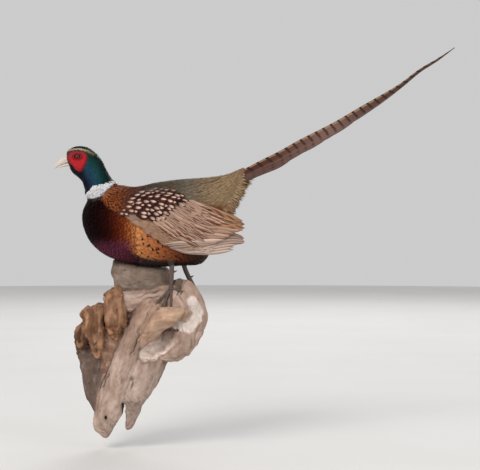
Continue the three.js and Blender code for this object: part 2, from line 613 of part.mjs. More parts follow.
function woodLimb({ square, from = LIMB_START, rows }) {
  const a = column(rows, (row) => [row.a[0], row.out, row.a[1]]);
  const b = column(rows, (row) => [row.b[0], row.out, row.b[1]]);
  const rings = stationSteps(0, rows.length - 1, 1).map((t) =>
    eggRing(a(t), b(t), -a(t).y, -from, LIMB_SIDES, square));
  return loft(rings);
}

// Wood with all the limbs that do, or do not, pass over the hollow.
function withLimbs(wood, over) {
  return Object.values(LIMBS).filter(({ overHollow = false }) => overHollow === over)
    .reduce((sum, row) => sum.add(woodLimb(row)), wood);
}

function buildDriftwood() {
  const hollow = solid(new THREE.SphereGeometry(1, 16, 10)
    .scale(...HOLLOW.radii).rotateY(-HOLLOW.tilt).translate(...HOLLOW.at));
  const { at, radius, length } = PRONG_HOLE;
  const hole = solid(new THREE.CylinderGeometry(radius, radius, length, 12)
    .translate(at[0], -length, at[1]));
  const massive = withLimbs(prism(BACK_OUTLINE, 0, -BACK_THICKNESS), false);
  const wood = withLimbs(massive.subtract(hollow), true)
    .subtract(prism(SLIT, 1, -SLIT_DEPTH))
    .subtract(hole)
    .subtract(bodyLoft(RING, LAST_STATION, BODY_ROOM));
  return grips.reduce((rest, grip) => rest.subtract(grip), wood);
}

// A keyhole plate with two screws, let into the back of the wood.
function buildHanger(wood) {
  const { z, width, height, thick, keyhole, keyholeDrop, screwZ, screwRadius } = HANGER;
  const through = thick * 4;
  const middle = -GAP - thick / 2;
  const box = (w, h, depth, y, up) => solid(new THREE.BoxGeometry(w, depth, h).translate(0, y, up));
  const disc = (radius, depth, y, up) =>
    solid(new THREE.CylinderGeometry(radius, radius, depth, 12).translate(0, y, up));
  const recess = box(width + 2 * GAP, height + 2 * GAP, thick + 2 * GAP, -thick / 2, z);
  const cavity = box(HANGER.pocketWidth, HANGER.pocketHeight, HANGER.pocket * 2, -HANGER.pocket, z);
  let plate = box(width, height, thick, middle, z)
    .subtract(disc(keyhole / 2, through, 0, z - keyholeDrop))
    .subtract(box(HANGER.slot, HANGER.slotLength, through, 0, z + HANGER.slotRise));
  for (const [name, up] of Object.entries({ upper: z + screwZ, lower: z - screwZ })) {
    plate = plate.subtract(disc(screwRadius + GAP, through, 0, up));
    add(`hanger_screw_${name}`, disc(screwRadius, thick, middle, up), 'steel');
  }
  add('hanger_plate', plate, 'steel');
  add('driftwood', wood.subtract(recess).subtract(cavity), 'wood');
}

buildHanger(buildDriftwood());

export default group;
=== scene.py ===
"""A cock ring-necked pheasant, mounted standing on driftwood that hangs on a wall.

Tables are in millimetres and meshes in metres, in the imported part's frame: the wall is the plane
y = 0, the bird faces -X and its middle plane is y = MID. Surfaces are worked out as whole arrays:
lofts of sections along splines, and feather blades laid over them.
"""

from types import SimpleNamespace

import bpy
import numpy as np
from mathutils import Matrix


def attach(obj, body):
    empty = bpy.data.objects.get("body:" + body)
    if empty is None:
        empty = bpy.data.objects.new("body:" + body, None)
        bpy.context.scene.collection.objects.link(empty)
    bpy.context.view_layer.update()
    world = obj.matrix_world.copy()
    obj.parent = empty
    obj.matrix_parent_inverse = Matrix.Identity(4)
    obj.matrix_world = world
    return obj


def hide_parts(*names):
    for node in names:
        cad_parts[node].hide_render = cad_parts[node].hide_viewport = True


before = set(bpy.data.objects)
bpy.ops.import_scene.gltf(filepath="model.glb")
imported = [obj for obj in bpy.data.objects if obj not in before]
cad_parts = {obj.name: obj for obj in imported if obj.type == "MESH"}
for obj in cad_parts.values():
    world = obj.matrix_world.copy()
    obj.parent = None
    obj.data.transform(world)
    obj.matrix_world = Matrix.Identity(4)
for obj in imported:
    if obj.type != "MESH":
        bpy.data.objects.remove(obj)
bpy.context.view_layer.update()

MID = -90.0  # the bird's middle plane
PATCH = 0.003  # size of one feather on its coat's bake map
HASH = (374761393, 668265263, 2147483647, 1274126177, 1103515245)  # large odd factors for noise
EVEN_STEPS = (0.7548776662466927, 0.5698402909980532)  # steps that spread points evenly two ways
SIDES = ((-1, "left"), (1, "right"))  # which way each side of the bird lies along Y
SHARP = 1.1  # feather edges turn more than this, in radians, and stay crisp

# ---- arrays


def smooth(value, low, high):
    """Smoothstep: 0 at or before low, 1 at or past high."""
    part = np.clip((value - low) / (high - low), 0, 1)
    return part * part * (3 - 2 * part)


def rgb(*colour):
    """Linear colour of an sRGB colour given in 0 to 255."""
    c = np.array(colour, float) / 255
    return np.where(c < 0.04045, c / 12.92, ((c + 0.055) / 1.055) ** 2.4)


def blend(a, b, part):
    """Colours from a to b as part goes from 0 to 1, for whole arrays."""
    return a + (b - a) * np.asarray(part)[..., None]


def layered(tone, *coats):
    """Colours laid over one another: each coat is a colour and the part of it that covers."""
    for colour, part in coats:
        tone = blend(tone, rgb(*colour) if isinstance(colour, tuple) else colour, part)
    return tone


def stops(value, places, colours):
    """Colours read from a ramp whose colours stand at the given places."""
    table = np.array([rgb(*c) for c in colours])
    return np.stack([np.interp(value, places, table[:, i]) for i in range(3)], -1)


def unit(v):
    """Vectors brought to length one."""
    return v / np.maximum(np.linalg.norm(v, axis=-1, keepdims=True), 1e-9)


def spline(table, t):
    """Uniform Catmull-Rom curve through the rows of a table, with reflected ends, at t."""
    p = np.asarray(table, float)
    p = np.vstack([2 * p[0] - p[1], p, 2 * p[-1] - p[-2]])
    t = np.clip(t, 0, len(table) - 1)
    i = np.minimum(t.astype(int), len(table) - 2)
    f = (t - i)[..., None]
    a, b, c, d = p[i], p[i + 1], p[i + 2], p[i + 3]
    cubic = (3 * b - a - 3 * c + d) * f**3 + (2 * a - 5 * b + 4 * c - d) * f**2
    return 0.5 * (cubic + (c - a) * f + 2 * b)


def lattice_noise(p, seed):
    """Value noise from -1 to 1: hashed lattice values, eased between the eight corners."""
    cell = np.floor(p).astype(np.int64)
    f = p - cell
    f = f * f * (3 - 2 * f)
    total = 0
    for corner in np.ndindex(2, 2, 2):
        h = seed * HASH[3] + sum((cell[..., k] + corner[k]) * HASH[k] for k in range(3))
        h = (h ^ (h >> 13)) * HASH[4]
        value = ((h ^ (h >> 16)) & 0xFFFF) / 32767.5 - 1
        for k in range(3):
            value = value * (f[..., k] if corner[k] else 1 - f[..., k])
        total = total + value
    return total


def grid_of(a, b):
    """Two parameters over their grid, the first along its rows."""
    return np.meshgrid(a, b, indexing="ij")


def seen(p):
    """The x and z of points, as seen from the side."""
    return p[..., 0], p[..., 2]


def outward(x, z, out, side=1):
    """Points at (x, z) that stand so far out from the bird's middle plane."""
    return np.stack([x, MID + side * out, z], -1)


def heading(angle, sideways=None):
    """Directions to the rear that rise by an angle from level, and lean sideways if asked."""
    sideways = np.zeros_like(angle) if sideways is None else sideways
    return np.stack([np.cos(angle), sideways, np.sin(angle)], -1)


def near_path(x, z, path):
    """Distance in the plane of x and z to a path of straight steps, and how far along it."""
    path = np.asarray(path, float)
    best = np.full(np.shape(x), 1e9)
    along = np.zeros(np.shape(x))
    for i, (p, q) in enumerate(zip(path[:-1], path[1:])):
        d = q - p
        part = np.clip(((x - p[0]) * d[0] + (z - p[1]) * d[1]) / (d @ d), 0, 1)
        far = np.hypot(x - p[0] - part * d[0], z - p[1] - part * d[1])
        along = np.where(far < best, i + part, along)
        best = np.minimum(best, far)
    return best, along


def inside(x, z, ring):
    """True where (x, z) lies inside a closed outline, by counting crossings."""
    ring = np.asarray(ring, float)
    odd = np.zeros(np.shape(x), bool)
    for p, q in zip(ring, np.roll(ring, -1, axis=0)):
        crosses = (p[1] > z) != (q[1] > z)
        at = p[0] + (z - p[1]) * (q[0] - p[0]) / (q[1] - p[1] + 1e-12)
        odd ^= crosses & (x < at)
    return odd


# ---- meshes


def mesh_from(name, points, faces, uv=None, marks=None, finish=None):
    """A mesh of whole arrays: points in mm, a list of face arrays, a UV and marks per point."""
    mesh = bpy.data.meshes.new(name)
    faces = [np.asarray(f, np.int32) for f in faces if len(f)]
    corner = np.concatenate([f.ravel() for f in faces])
    sizes = np.concatenate([np.full(len(f), f.shape[1], np.int32) for f in faces])
    mesh.vertices.add(len(points))
    mesh.vertices.foreach_set("co", (np.asarray(points) * 0.001).astype(np.float32).ravel())
    mesh.loops.add(len(corner))
    mesh.loops.foreach_set("vertex_index", corner)
    mesh.polygons.add(len(sizes))
    mesh.polygons.foreach_set("loop_start", np.concatenate([[0], np.cumsum(sizes)[:-1]]).astype(np.int32))
    mesh.update(calc_edges=True)
    if uv is not None:
        layer = mesh.uv_layers.new(name="OFBake")
        layer.data.foreach_set("uv", np.asarray(uv, np.float32)[corner].ravel())
    for label, values in (marks or {}).items():
        values = np.asarray(values, np.float32)
        kind, field = "FLOAT_VECTOR", "vector"
        if label in ("tone", "rim"):
            kind, field = "FLOAT_COLOR", "color"
            values = np.hstack([values, np.ones((len(values), 1), np.float32)])
        mesh.attributes.new(label, kind, "POINT").data.foreach_set(field, values.ravel())
    mesh.shade_smooth()
    thing = bpy.data.objects.new(name, mesh)
    bpy.context.scene.collection.objects.link(thing)
    if finish is not None:
        mesh.materials.append(finish)
    return thing


def hand_in(thing, slot, *nodes):
    """The piece rides on the root body and its slot is not used; it stands for the CAD nodes named."""
    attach(thing, "root")
    if nodes:
        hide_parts(*nodes)


def tube_faces(rows, cols, start):
    """Quads of a tube of closed rings and the two end faces, facing outwards for rings that
    run clockwise seen along the tube."""
    i, j = grid_of(np.arange(rows - 1), np.arange(cols))
    k = (j + 1) % cols
    quads = np.stack([i * cols + j, i * cols + k, (i + 1) * cols + k, (i + 1) * cols + j], -1)
    first = np.arange(cols)[::-1][None]
    last = (rows - 1) * cols + np.arange(cols)[None]
    return [quads.reshape(-1, 4) + start, first + start, last + start]


def tubes(parts):
    """Points and faces of several tubes (rows, cols, 3) joined in one mesh; columns past the
    third are marks that ride along."""
    points, faces, start = [], [], 0
    for rings in parts:
        rows, cols = rings.shape[:2]
        middle = rings[..., :3].mean(axis=1)
        spin = np.cross(rings[0, 0, :3] - middle[0], rings[0, 1, :3] - middle[0])
        if spin @ (middle[1] - middle[0]) < 0:
            rings = rings[:, ::-1]
        points.append(rings.reshape(rows * cols, -1))
        faces += tube_faces(rows, cols, start)
        start += rows * cols
    return np.concatenate(points), faces


def pipe(path, radii, sides, rows):
    """A round tube of changing radius carried along a spline through the path."""
    t = np.linspace(0, len(path) - 1, rows)
    centre = spline(path, t)
    along = unit(np.gradient(centre, axis=0))
    side = unit(np.cross(along, [0.0, 1.0, 0.0]))
    up = np.cross(side, along)
    radius = np.interp(t / t[-1], np.linspace(0, 1, len(radii)), radii)
    a = np.linspace(0, 2 * np.pi, sides, endpoint=False)
    ring = side[:, None] * np.cos(a)[:, None] + up[:, None] * np.sin(a)[:, None]
    return centre[:, None] + ring * radius[:, None, None]


def voxel_union(name, points, faces, size, cutter=None, soften=0):
    """One closed mesh of overlapping closed ones: voxel remesh, smoothing, then a cut; returns
    arrays."""
    thing = mesh_from(name, points, faces)
    remesh = thing.modifiers.new("union", "REMESH")
    remesh.mode = "VOXEL"
    remesh.voxel_size = size * 0.001
    if soften:
        thing.modifiers.new("soften", "SMOOTH").iterations = soften
    if cutter is not None:
        cut = thing.modifiers.new("cut", "BOOLEAN")
        cut.operation = "DIFFERENCE"
        cut.object = cutter
        cut.solver = "EXACT"
    depsgraph = bpy.context.evaluated_depsgraph_get()
    mesh = bpy.data.meshes.new_from_object(thing.evaluated_get(depsgraph))
    co = np.empty(len(mesh.vertices) * 3, np.float32)
    mesh.vertices.foreach_get("co", co)
    total = np.empty(len(mesh.polygons), np.int32)
    mesh.polygons.foreach_get("loop_total", total)
    corner = np.empty(len(mesh.loops), np.int32)
    mesh.loops.foreach_get("vertex_index", corner)
    start = np.concatenate([[0], np.cumsum(total)[:-1]])
    groups = [corner[start[total == n][:, None] + np.arange(n)] for n in np.unique(total)]
    bpy.data.objects.remove(thing)
    if cutter is not None:
        bpy.data.objects.remove(cutter)
    return co.reshape(-1, 3).astype(float) * 1000, groups


def largest_part(points, faces):
    """The connected part with the most points: labels spread over the edges until they rest."""
    edges = np.concatenate([np.stack([face, np.roll(face, 1, axis=1)], -1).reshape(-1, 2) for face in faces])
    label = np.arange(len(points))
    while True:
        least = label.copy()
        np.minimum.at(least, edges[:, 0], label[edges[:, 1]])
        np.minimum.at(least, edges[:, 1], label[edges[:, 0]])
        least = least[least]
        if (least == label).all():
            break
        label = least
    keep = label == np.bincount(label).argmax()
    number = np.cumsum(keep) - 1
    return points[keep], [number[face[keep[face[:, 0]]]] for face in faces]


def normals_of(points, faces):
    """Mean face normal at each point, from each face's first three corners."""
    total = np.zeros_like(points)
    for face in faces:
        n = np.cross(points[face[:, 1]] - points[face[:, 0]], points[face[:, 2]] - points[face[:, 0]])
        for k in range(face.shape[1]):
            np.add.at(total, face[:, k], n)
    return unit(total)


# ---- shader kit


class Flow:
    """A number flowing between shader nodes: sums and products of it add Math nodes."""

    def __init__(self, finish, socket):
        self.finish, self.socket = finish, socket

    def __add__(self, other):
        return self.finish.maths("ADD", self, other)

    def __sub__(self, other):
        return self.finish.maths("SUBTRACT", self, other)

    def __rsub__(self, other):
        return self.finish.maths("SUBTRACT", other, self)

    def __mul__(self, other):
        return self.finish.maths("MULTIPLY", self, other)

    def __truediv__(self, other):
        return self.finish.maths("DIVIDE", self, other)

    __radd__ = __add__
    __rmul__ = __mul__


class Finish:
    """A material whose nodes are added one expression at a time."""

    def __init__(self, name, **constants):
        self.material = bpy.data.materials.new(name)
        self.material.use_nodes = True
        self.tree = self.material.node_tree
        self.shader = self.tree.nodes["Principled BSDF"]
        for socket, value in constants.items():
            self.shader.inputs[socket.replace("_", " ")].default_value = value

    def node(self, kind, settings=None, inputs=None, out=0):
        """A node of a kind, its settings first, then its inputs' values or links."""
        made = self.tree.nodes.new(kind)
        for key, value in (settings or {}).items():
            setattr(made, key, value)
        for key, value in (inputs or {}).items():
            self.feed(made.inputs[key], value)
        return Flow(self, made.outputs[out])

    def feed(self, socket, value):
        """Links a flow to a socket, or sets the socket's own value."""
        if isinstance(value, Flow):
            self.tree.links.new(value.socket, socket)
        elif socket.type == "RGBA" and len(value) == 3:
            socket.default_value = (*value, 1)
        else:
            socket.default_value = value

    def maths(self, operation, *values):
        return self.node("ShaderNodeMath", {"operation": operation}, dict(enumerate(values)))

    def step(self, value, low, high):
        """0 below low, 1 above high, eased between."""
        settings = {"interpolation_type": "SMOOTHSTEP"}
        return self.node("ShaderNodeMapRange", settings, {0: value, 1: low, 2: high, 3: 0.0, 4: 1.0})

    def mix(self, part, a, b):
        """Colour a turned to b by part."""
        return self.node("ShaderNodeMix", {"data_type": "RGBA"}, {0: part, 6: a, 7: b}, 2)

    def shade(self, colour, amount):
        """Colour scaled by a number."""
        return self.node("ShaderNodeVectorMath", {"operation": "SCALE"}, {0: colour, 3: amount})

    def mark(self, name, out="Vector"):
        return self.node("ShaderNodeAttribute", {"attribute_name": name}, out=out)

    def parts(self, vector):
        made = self.node("ShaderNodeSeparateXYZ", inputs={0: vector})
        outputs = made.socket.node.outputs
        return [Flow(self, outputs[i]) for i in range(3)]

    def place(self):
        return self.node("ShaderNodeTexCoord", out="Object")

    def noise(self, where, scale, detail=2.0, rough=0.5):
        inputs = {"Vector": where, "Scale": scale, "Detail": detail, "Roughness": rough}
        return self.node("ShaderNodeTexNoise", inputs=inputs)

    def cells(self, where, scale, feature="F1"):
        inputs = {"Vector": where, "Scale": scale}
        return self.node("ShaderNodeTexVoronoi", {"feature": feature}, inputs)

    def bump(self, height, distance, strength):
        inputs = {"Height": height, "Distance": distance, "Strength": strength}
        self.feed(self.shader.inputs["Normal"], self.node("ShaderNodeBump", inputs=inputs))

    def coloured(self, colour):
        """The finished material, with its colour taken from a flow."""
        self.feed(self.shader.inputs["Base Color"], colour)
        return self.material


# ---- the bird's lofts

# Top point, bottom point (x, z) and half-width of each section, the coat included.
BODY = np.array([
    [-153, 314, -153, 312, 1], [-152, 328, -148, 299, 9.5], [-144, 335, -141, 287, 13.5],
    [-131, 339, -129, 277, 16.5], [-113, 337, -122, 269, 17], [-98, 327.5, -119, 260, 17.5],
    [-84.5, 312.5, -117, 253, 19], [-76.5, 296, -117, 246, 22], [-67.5, 280, -116, 238, 26],
    [-57.5, 269, -116, 230, 32], [-44, 262.5, -119, 218, 41], [-25, 259, -122, 201, 52],
    [-4, 261, -118, 176, 62], [20, 267, -101, 146, 69], [45, 271, -70, 123, 73],
    [72, 274, -27, 110, 73], [99, 276, 20, 104, 68], [123, 278, 68, 106, 60],
    [140, 280, 109, 110, 51], [156, 283, 129, 134, 41], [169, 287, 150, 163, 32],
    [178, 291, 168, 208, 24], [186, 294, 182, 239, 17], [191, 296, 191, 256, 11],
    [197, 292, 198, 268, 4],
], float)
TAIL_END = len(BODY) - 1.0
# Upper edge, lower edge (x, z), distance out at the upper edge, middle and lower edge, thickness.
WING = np.array([
    [-35.5, 209.5, -35, 202, 72, 73, 73.5, 5], [-28, 223.5, -26.5, 194, 69.5, 75, 75, 10],
    [-9, 236, -7.5, 179.5, 64, 79, 76, 13], [18.5, 241, 19, 162, 63, 80.5, 72, 14],
    [48.5, 239, 48.5, 143.5, 65, 79, 62.5, 14], [81, 232, 80.5, 137.5, 64, 74.5, 58, 14],
    [114.5, 223.5, 114.5, 141.5, 58, 67, 55, 11], [147, 214, 147, 153.5, 52, 61, 54, 8],
    [171.5, 204, 171.5, 167, 49, 55, 51, 5], [186, 195.5, 185, 173, 46, 50, 48, 3],
    [196, 182.5, 195, 176, 45, 45.5, 45, 1.4],
])
PRIMARIES = np.array([
    [51.5, 158, 49, 140.5, 60, 60, 56, 4], [80.5, 154.5, 80, 131, 57, 56.5, 49, 7],
    [109, 155, 108.5, 128.5, 54, 55, 47, 7], [137, 163, 137, 129.5, 52, 53, 46, 5],
    [166.5, 168, 166.5, 134, 48, 49, 43, 4], [186, 164, 185, 139, 45, 45.5, 42, 3],
    [195, 158, 194, 144.5, 43.5, 44, 41.5, 2.4], [199, 153, 199, 148.5, 42.5, 42.6, 42, 1.4],
])
# Outline (x, z) of the bare cheek, its middle, and the eye's place, distance out and radius.
WATTLE = [
    (-153, 316), (-151, 323), (-145, 328.5), (-132, 330.5), (-116, 327.5), (-110, 319), (-112, 307),
    (-120, 291), (-127, 287.5), (-134, 291.5), (-141, 299.5), (-150, 308),
]
WATTLE_MIDDLE = np.array([-130.5, 314.0])
EYE = {"x": -130.0, "z": 317.2, "out": 12.4, "radius": 5.4}


def body_at(t, a):
    """Section point at angle a from the top, the bird's right side at positive angles."""
    row = spline(BODY, t)
    down = ((1 - np.cos(a)) / 2)[..., None]
    xz = row[..., 0:2] * (1 - down) + row[..., 2:4] * down
    return outward(xz[..., 0], xz[..., 1], row[..., 4] * np.sin(a))


def blade_at(table, side):
    """Outer face of a blade on one side: u runs from -1 at its lower edge to 1 at its upper;
    the distance out bends as a parabola through the edges and the middle."""

    def at(s, u):
        row = spline(table, s)
        part = ((u + 1) / 2)[..., None]
        xz = row[..., 2:4] * (1 - part) + row[..., 0:2] * part
        upper, middle, lower = row[..., 4], row[..., 5], row[..., 6]
        out = middle + (upper - lower) / 2 * u + ((upper + lower) / 2 - middle) * u * u
        return outward(xz[..., 0], xz[..., 1], out, side)

    return at


class Shell:
    """A surface in two parameters with its outward normal; past its end it runs on straight."""

    def __init__(self, at, span, out=1.0):
        self.at, self.span, self.out = at, span, out

    def point(self, s, r):
        held = np.clip(s, *self.span)
        p = self.at(held, r)
        end = np.full_like(s, self.span[1])
        slope = (self.at(end, r) - self.at(end - 0.02, r)) / 0.02
        return p + np.maximum(s - held, 0)[..., None] * slope

    def frame(self, s, r):
        """Point, normal and the two slopes, by central differences."""
        s, r = np.asarray(s, float), np.asarray(r, float)
        e = (self.span[1] - self.span[0]) * 2e-4
        p = self.point(s, r)
        ps = (self.point(s + e, r) - self.point(s - e, r)) / (2 * e)
        pr = (self.point(s, r + 1e-3) - self.point(s, r - 1e-3)) / 2e-3
        return p, unit(np.cross(ps, pr)) * self.out, ps, pr

    def steps(self, ps, pr, d):
        """Change of the two parameters for one millimetre along direction d."""
        dot = lambda a, b: (a * b).sum(-1)
        g11, g12, g22 = dot(ps, ps), dot(ps, pr), dot(pr, pr)
        b1, b2 = dot(d, ps), dot(d, pr)
        det = np.maximum(g11 * g22 - g12**2, 1e-6)
        return (g22 * b1 - g12 * b2) / det, (g11 * b2 - g12 * b1) / det

    def find(self, x, z, r_span):
        """Parameters of the points seen at (x, z) from the side: nearest of a grid, then two
        Newton steps."""
        s, r = grid_of(np.linspace(*self.span, 150), np.linspace(*r_span, 70))
        s, r = s.ravel(), r.ravel()
        p = self.at(s, r)
        far = (p[None, :, 0] - x[:, None]) ** 2 + (p[None, :, 2] - z[:, None]) ** 2
        best = far.argmin(1)
        s, r = s[best], r[best]
        for _ in range(2):
            p, _, ps, pr = self.frame(s, r)
            det = ps[:, 0] * pr[:, 2] - ps[:, 2] * pr[:, 0]
            det = np.where(np.abs(det) < 1e-3, 1e-3, det)
            ex, ez = x - p[:, 0], z - p[:, 2]
            s = np.clip(s + np.clip((ex * pr[:, 2] - ez * pr[:, 0]) / det, -0.3, 0.3), *self.span)
            r = np.clip(r + np.clip((ez * ps[:, 0] - ex * ps[:, 2]) / det, -0.1, 0.1), *r_span)
        return s, r


body = Shell(body_at, (0.0, TAIL_END))
wings = {s: Shell(blade_at(WING, s), (0.0, len(WING) - 1.0), -s) for s in (-1, 1)}
primaries = {s: Shell(blade_at(PRIMARIES, s), (0.0, len(PRIMARIES) - 1.0), -s) for s in (-1, 1)}

# The whole side as one relief: how far out the body or wing stands at each (x, z).
RELIEF_STEP = 2.0
RELIEF_LOW = np.array([-130.0, 95.0])
RELIEF_SHAPE = (175, 105)


def relief_table():
    """Greatest distance out in each cell of the side view, softened by a small blur."""
    table = np.zeros(RELIEF_SHAPE)
    grids = [(body, np.linspace(0, TAIL_END, 1500), np.linspace(-np.pi, 0, 500)),
             (wings[-1], np.linspace(0, len(WING) - 1, 900), np.linspace(-1, 1, 300))]
    for shell, s, r in grids:
        p = shell.at(*grid_of(s, r)).reshape(-1, 3)
        cell = np.round((p[:, [0, 2]] - RELIEF_LOW) / RELIEF_STEP).astype(int)
        ok = ((cell >= 0) & (cell < RELIEF_SHAPE)).all(1)
        np.maximum.at(table, (cell[ok, 0], cell[ok, 1]), MID - p[ok, 1])
    for _ in range(5):
        wide = np.pad(table, 1, mode="edge")
        table = (wide[2:, 1:-1] + wide[:-2, 1:-1] + wide[1:-1, 2:] + wide[1:-1, :-2] + 4 * table) / 8
    return table


RELIEF = relief_table()


def relief_at(side):
    """Point of the side relief at (x, z), read between its cells."""

    def at(x, z):
        fx = np.clip((x - RELIEF_LOW[0]) / RELIEF_STEP, 0, RELIEF_SHAPE[0] - 1.001)
        fz = np.clip((z - RELIEF_LOW[1]) / RELIEF_STEP, 0, RELIEF_SHAPE[1] - 1.001)
        i, j = fx.astype(int), fz.astype(int)
        u, v = fx - i, fz - j
        low = RELIEF[i, j] * (1 - u) + RELIEF[i + 1, j] * u
        high = RELIEF[i, j + 1] * (1 - u) + RELIEF[i + 1, j + 1] * u
        return outward(x, z, low * (1 - v) + high * v, side)

    return at


class SideShell(Shell):
    """The side relief; its two parameters are x and z, so slopes are taken over 3 mm."""

    def frame(self, s, r):
        s, r = np.asarray(s, float), np.asarray(r, float)
        p = self.at(s, r)
        ps = (self.at(s + 3, r) - self.at(s - 3, r)) / 6
        pr = (self.at(s, r + 3) - self.at(s, r - 3)) / 6
        return p, unit(np.cross(ps, pr)) * self.out, ps, pr


sides = {s: SideShell(relief_at(s), (-130.0, 215.0), -s) for s in (-1, 1)}

# ---- feathers

WIDEST = 0.55  # the part of its length where a body feather is widest


def rounded(v):
    """Half-width of a body feather along its length: it widens, then closes round."""
    swell = 0.4 + 0.6 * smooth(v, 0, WIDEST)
    return swell * np.sqrt(np.clip(1 - (np.maximum(v - WIDEST, 0) / (1 - WIDEST)) ** 2.4, 0.003, 1))


def pointed(v):
    """Half-width of a long feather: narrow root, even blade, and a blunt point."""
    return (0.35 + 0.65 * smooth(v, 0, 0.25)) * np.sqrt(np.clip(1 - smooth(v, 0.7, 1.0) ** 1.4, 0.002, 1))


def hairlike(v):
    """Half-width of a lax feather that thins to its end."""
    return (0.5 + 0.5 * smooth(v, 0, 0.3)) * (1 - 0.9 * smooth(v, 0.5, 1.0))


def stations(rows):
    """Parts of a feather's length at which its rows stand, closer towards the tip."""
    return 1 - (1 - np.linspace(0, 1, rows + 1)) ** 1.5


def feathers(shell, s, r, length, width, sink, lift, aim=None, *, seed, form=rounded, rows=4, cols=3,
             camber=0.22, tile=(0, 0, 1, 1), sway=0.12, wave=0.0, straight=False, course=None):
    """Feather blades laid over a shell from their roots (s, r).

    The spine of a feather steps from its root along `aim`, held to the shell, or leaves it at
    the root when straight. At the part v of its length it stands over the shell by the lift
    times v squared, less the sink times the power 1.5 of one less v. Across it the blade is the
    half-width times u, and its edges drop by the camber times the half-width times u squared."""
    rng = np.random.default_rng(seed)
    n = len(s)
    full = lambda value: np.broadcast_to(np.asarray(value, float), (n,))
    length, width, sink, lift = (full(x) for x in (length, width, sink, lift))
    length = length * rng.uniform(0.9, 1.1, n)
    width = width * rng.uniform(0.92, 1.08, n)
    chance = rng.random(n)
    v = stations(rows)
    _, normal, ps, pr = shell.frame(s, r)
    d = unit(ps) if aim is None else np.broadcast_to(np.asarray(aim, float), (n, 3))
    d = unit(d - (d * normal).sum(-1, keepdims=True) * normal)
    d = unit(d + np.cross(normal, d) * rng.normal(0, sway, n)[:, None])
    ds, dr = shell.steps(ps, pr, d)
    run = length[:, None] * v
    bow = (wave * rng.normal(0, 1, n))[:, None] * v**2
    place_s, place_r = s[:, None] + ds[:, None] * run, r[:, None] + dr[:, None] * run
    if course is not None:
        place_s, place_r = course
    if straight:
        p = shell.point(s, r)[:, None] + d[:, None] * run[..., None]
        normal = np.broadcast_to(normal[:, None], p.shape)
    else:
        p, normal, _, _ = shell.frame(place_s, place_r)
    jitter = rng.normal(0, 0.12, n)[:, None]
    height = -sink[:, None] * (1 - v) ** 1.5 + (lift[:, None] + jitter) * v**2
    spine = p + normal * height[..., None]
    along = unit(np.gradient(spine, axis=1))
    side = unit(np.cross(normal, along))
    spine = spine + side * bow[..., None]
    up = np.cross(along, side)
    u = np.linspace(-1, 1, cols)
    half = (width[:, None] / 2 * form(v))[..., None]
    drop = camber * half * u**2 - 0.12 * (1 - u**2)
    grid = spine[:, :, None] + side[:, :, None] * (half * u)[..., None] - up[:, :, None] * drop[..., None]
    s0, s1, r0, r1 = s.min(), s.max() + 1e-6, r.min(), r.max() + 1e-6
    span = np.array([tile[2] - tile[0], tile[3] - tile[1]]) - 4 * PATCH
    root_uv = np.stack([(s - s0) / (s1 - s0), (r - r0) / (r1 - r0)], -1) * span
    root_uv = root_uv + np.array(tile[:2]) + 2 * PATCH
    patch = np.stack(np.broadcast_arrays(u / 2, v[:, None] - 0.5), -1)
    uv = root_uv[:, None, None] + patch * PATCH
    vane = np.stack(np.broadcast_arrays(u, v[:, None], chance[:, None, None]), -1)
    return {"grid": grid, "uv": uv, "vane": vane, "tip": p[:, int(rows * 0.6)]}


def paint(batch, tone, rim=None):
    """Gives every point of the batch its feather's colours; painted shade makes the root a little darker."""
    # painted shade: the root, lying under the feathers above, is darker
    fade = 0.72 + 0.28 * smooth(batch["vane"][..., 1:2], 0.1, 0.6)
    batch["tone"] = tone[:, None, None] * fade
    batch["rim"] = batch["tone"] if rim is None else rim[:, None, None] * fade
    return batch


def coat(name, batches, finish):
    """One mesh of many feathers: each is a strip of quads over its blade, one quad row closing
    it underneath, and an end face at the root and tip."""
    points, uv, faces, start = [], [], [], 0
    marks = {"vane": [], "tone": [], "rim": []}
    for batch in batches:
        n, rows, cols = batch["grid"].shape[:3]
        quads, first, last = tube_faces(rows, cols, start)
        base = np.arange(n)[:, None, None] * rows * cols
        for face in (quads[:, [0, 3, 2, 1]], first[:, ::-1], last[:, ::-1]):
            faces.append((face + base).reshape(-1, face.shape[1]))
        points.append(batch["grid"].reshape(-1, 3))
        uv.append(batch["uv"].reshape(-1, 2))
        for label in marks:
            marks[label].append(batch[label].reshape(-1, 3))
        start += n * rows * cols
    marks = {label: np.concatenate(parts) for label, parts in marks.items()}
    thing = mesh_from(name, np.concatenate(points), faces, np.concatenate(uv), marks, finish)
    thing.data.set_sharp_from_angle(angle=SHARP)
    return thing


def scatter(shell, s_span, r_span, room, keep, seed, clear=-1.0):
    """Roots spread evenly over part of a shell where `keep` is true and r is further than
    `clear` from 0: a golden-ratio sequence in two ways, carried through the sums of area over
    room squared along s, then along r."""
    s, r = np.linspace(*s_span, 220), np.linspace(*r_span, 200)
    grid_s, grid_r = grid_of(s, r)
    p, _, ps, pr = shell.frame(grid_s, grid_r)
    weight = np.linalg.norm(np.cross(ps, pr), axis=-1) / room**2
    weight = weight * (keep(p) & (np.abs(grid_r) > clear))
    count = int(weight.sum() * (s[1] - s[0]) * (r[1] - r[0]))
    i = np.arange(count) + seed * 7919
    a, b = ((0.5 + i * step) % 1 for step in EVEN_STEPS)
    rows = np.cumsum(weight.sum(1))
    at_s = np.interp(a, rows / rows[-1], s)
    k = np.clip(np.searchsorted(s, at_s), 0, len(s) - 1)
    cols = np.cumsum(weight[k], axis=1) + 1e-12
    cols = cols / cols[:, -1:]
    j = np.clip((cols < b[:, None]).sum(1), 1, len(r) - 1)
    low, high = cols[np.arange(count), j - 1], cols[np.arange(count), j]
    part = np.clip((b - low) / np.maximum(high - low, 1e-9), 0, 1)
    return at_s, r[j - 1] + part * (r[1] - r[0])


# ---- markings

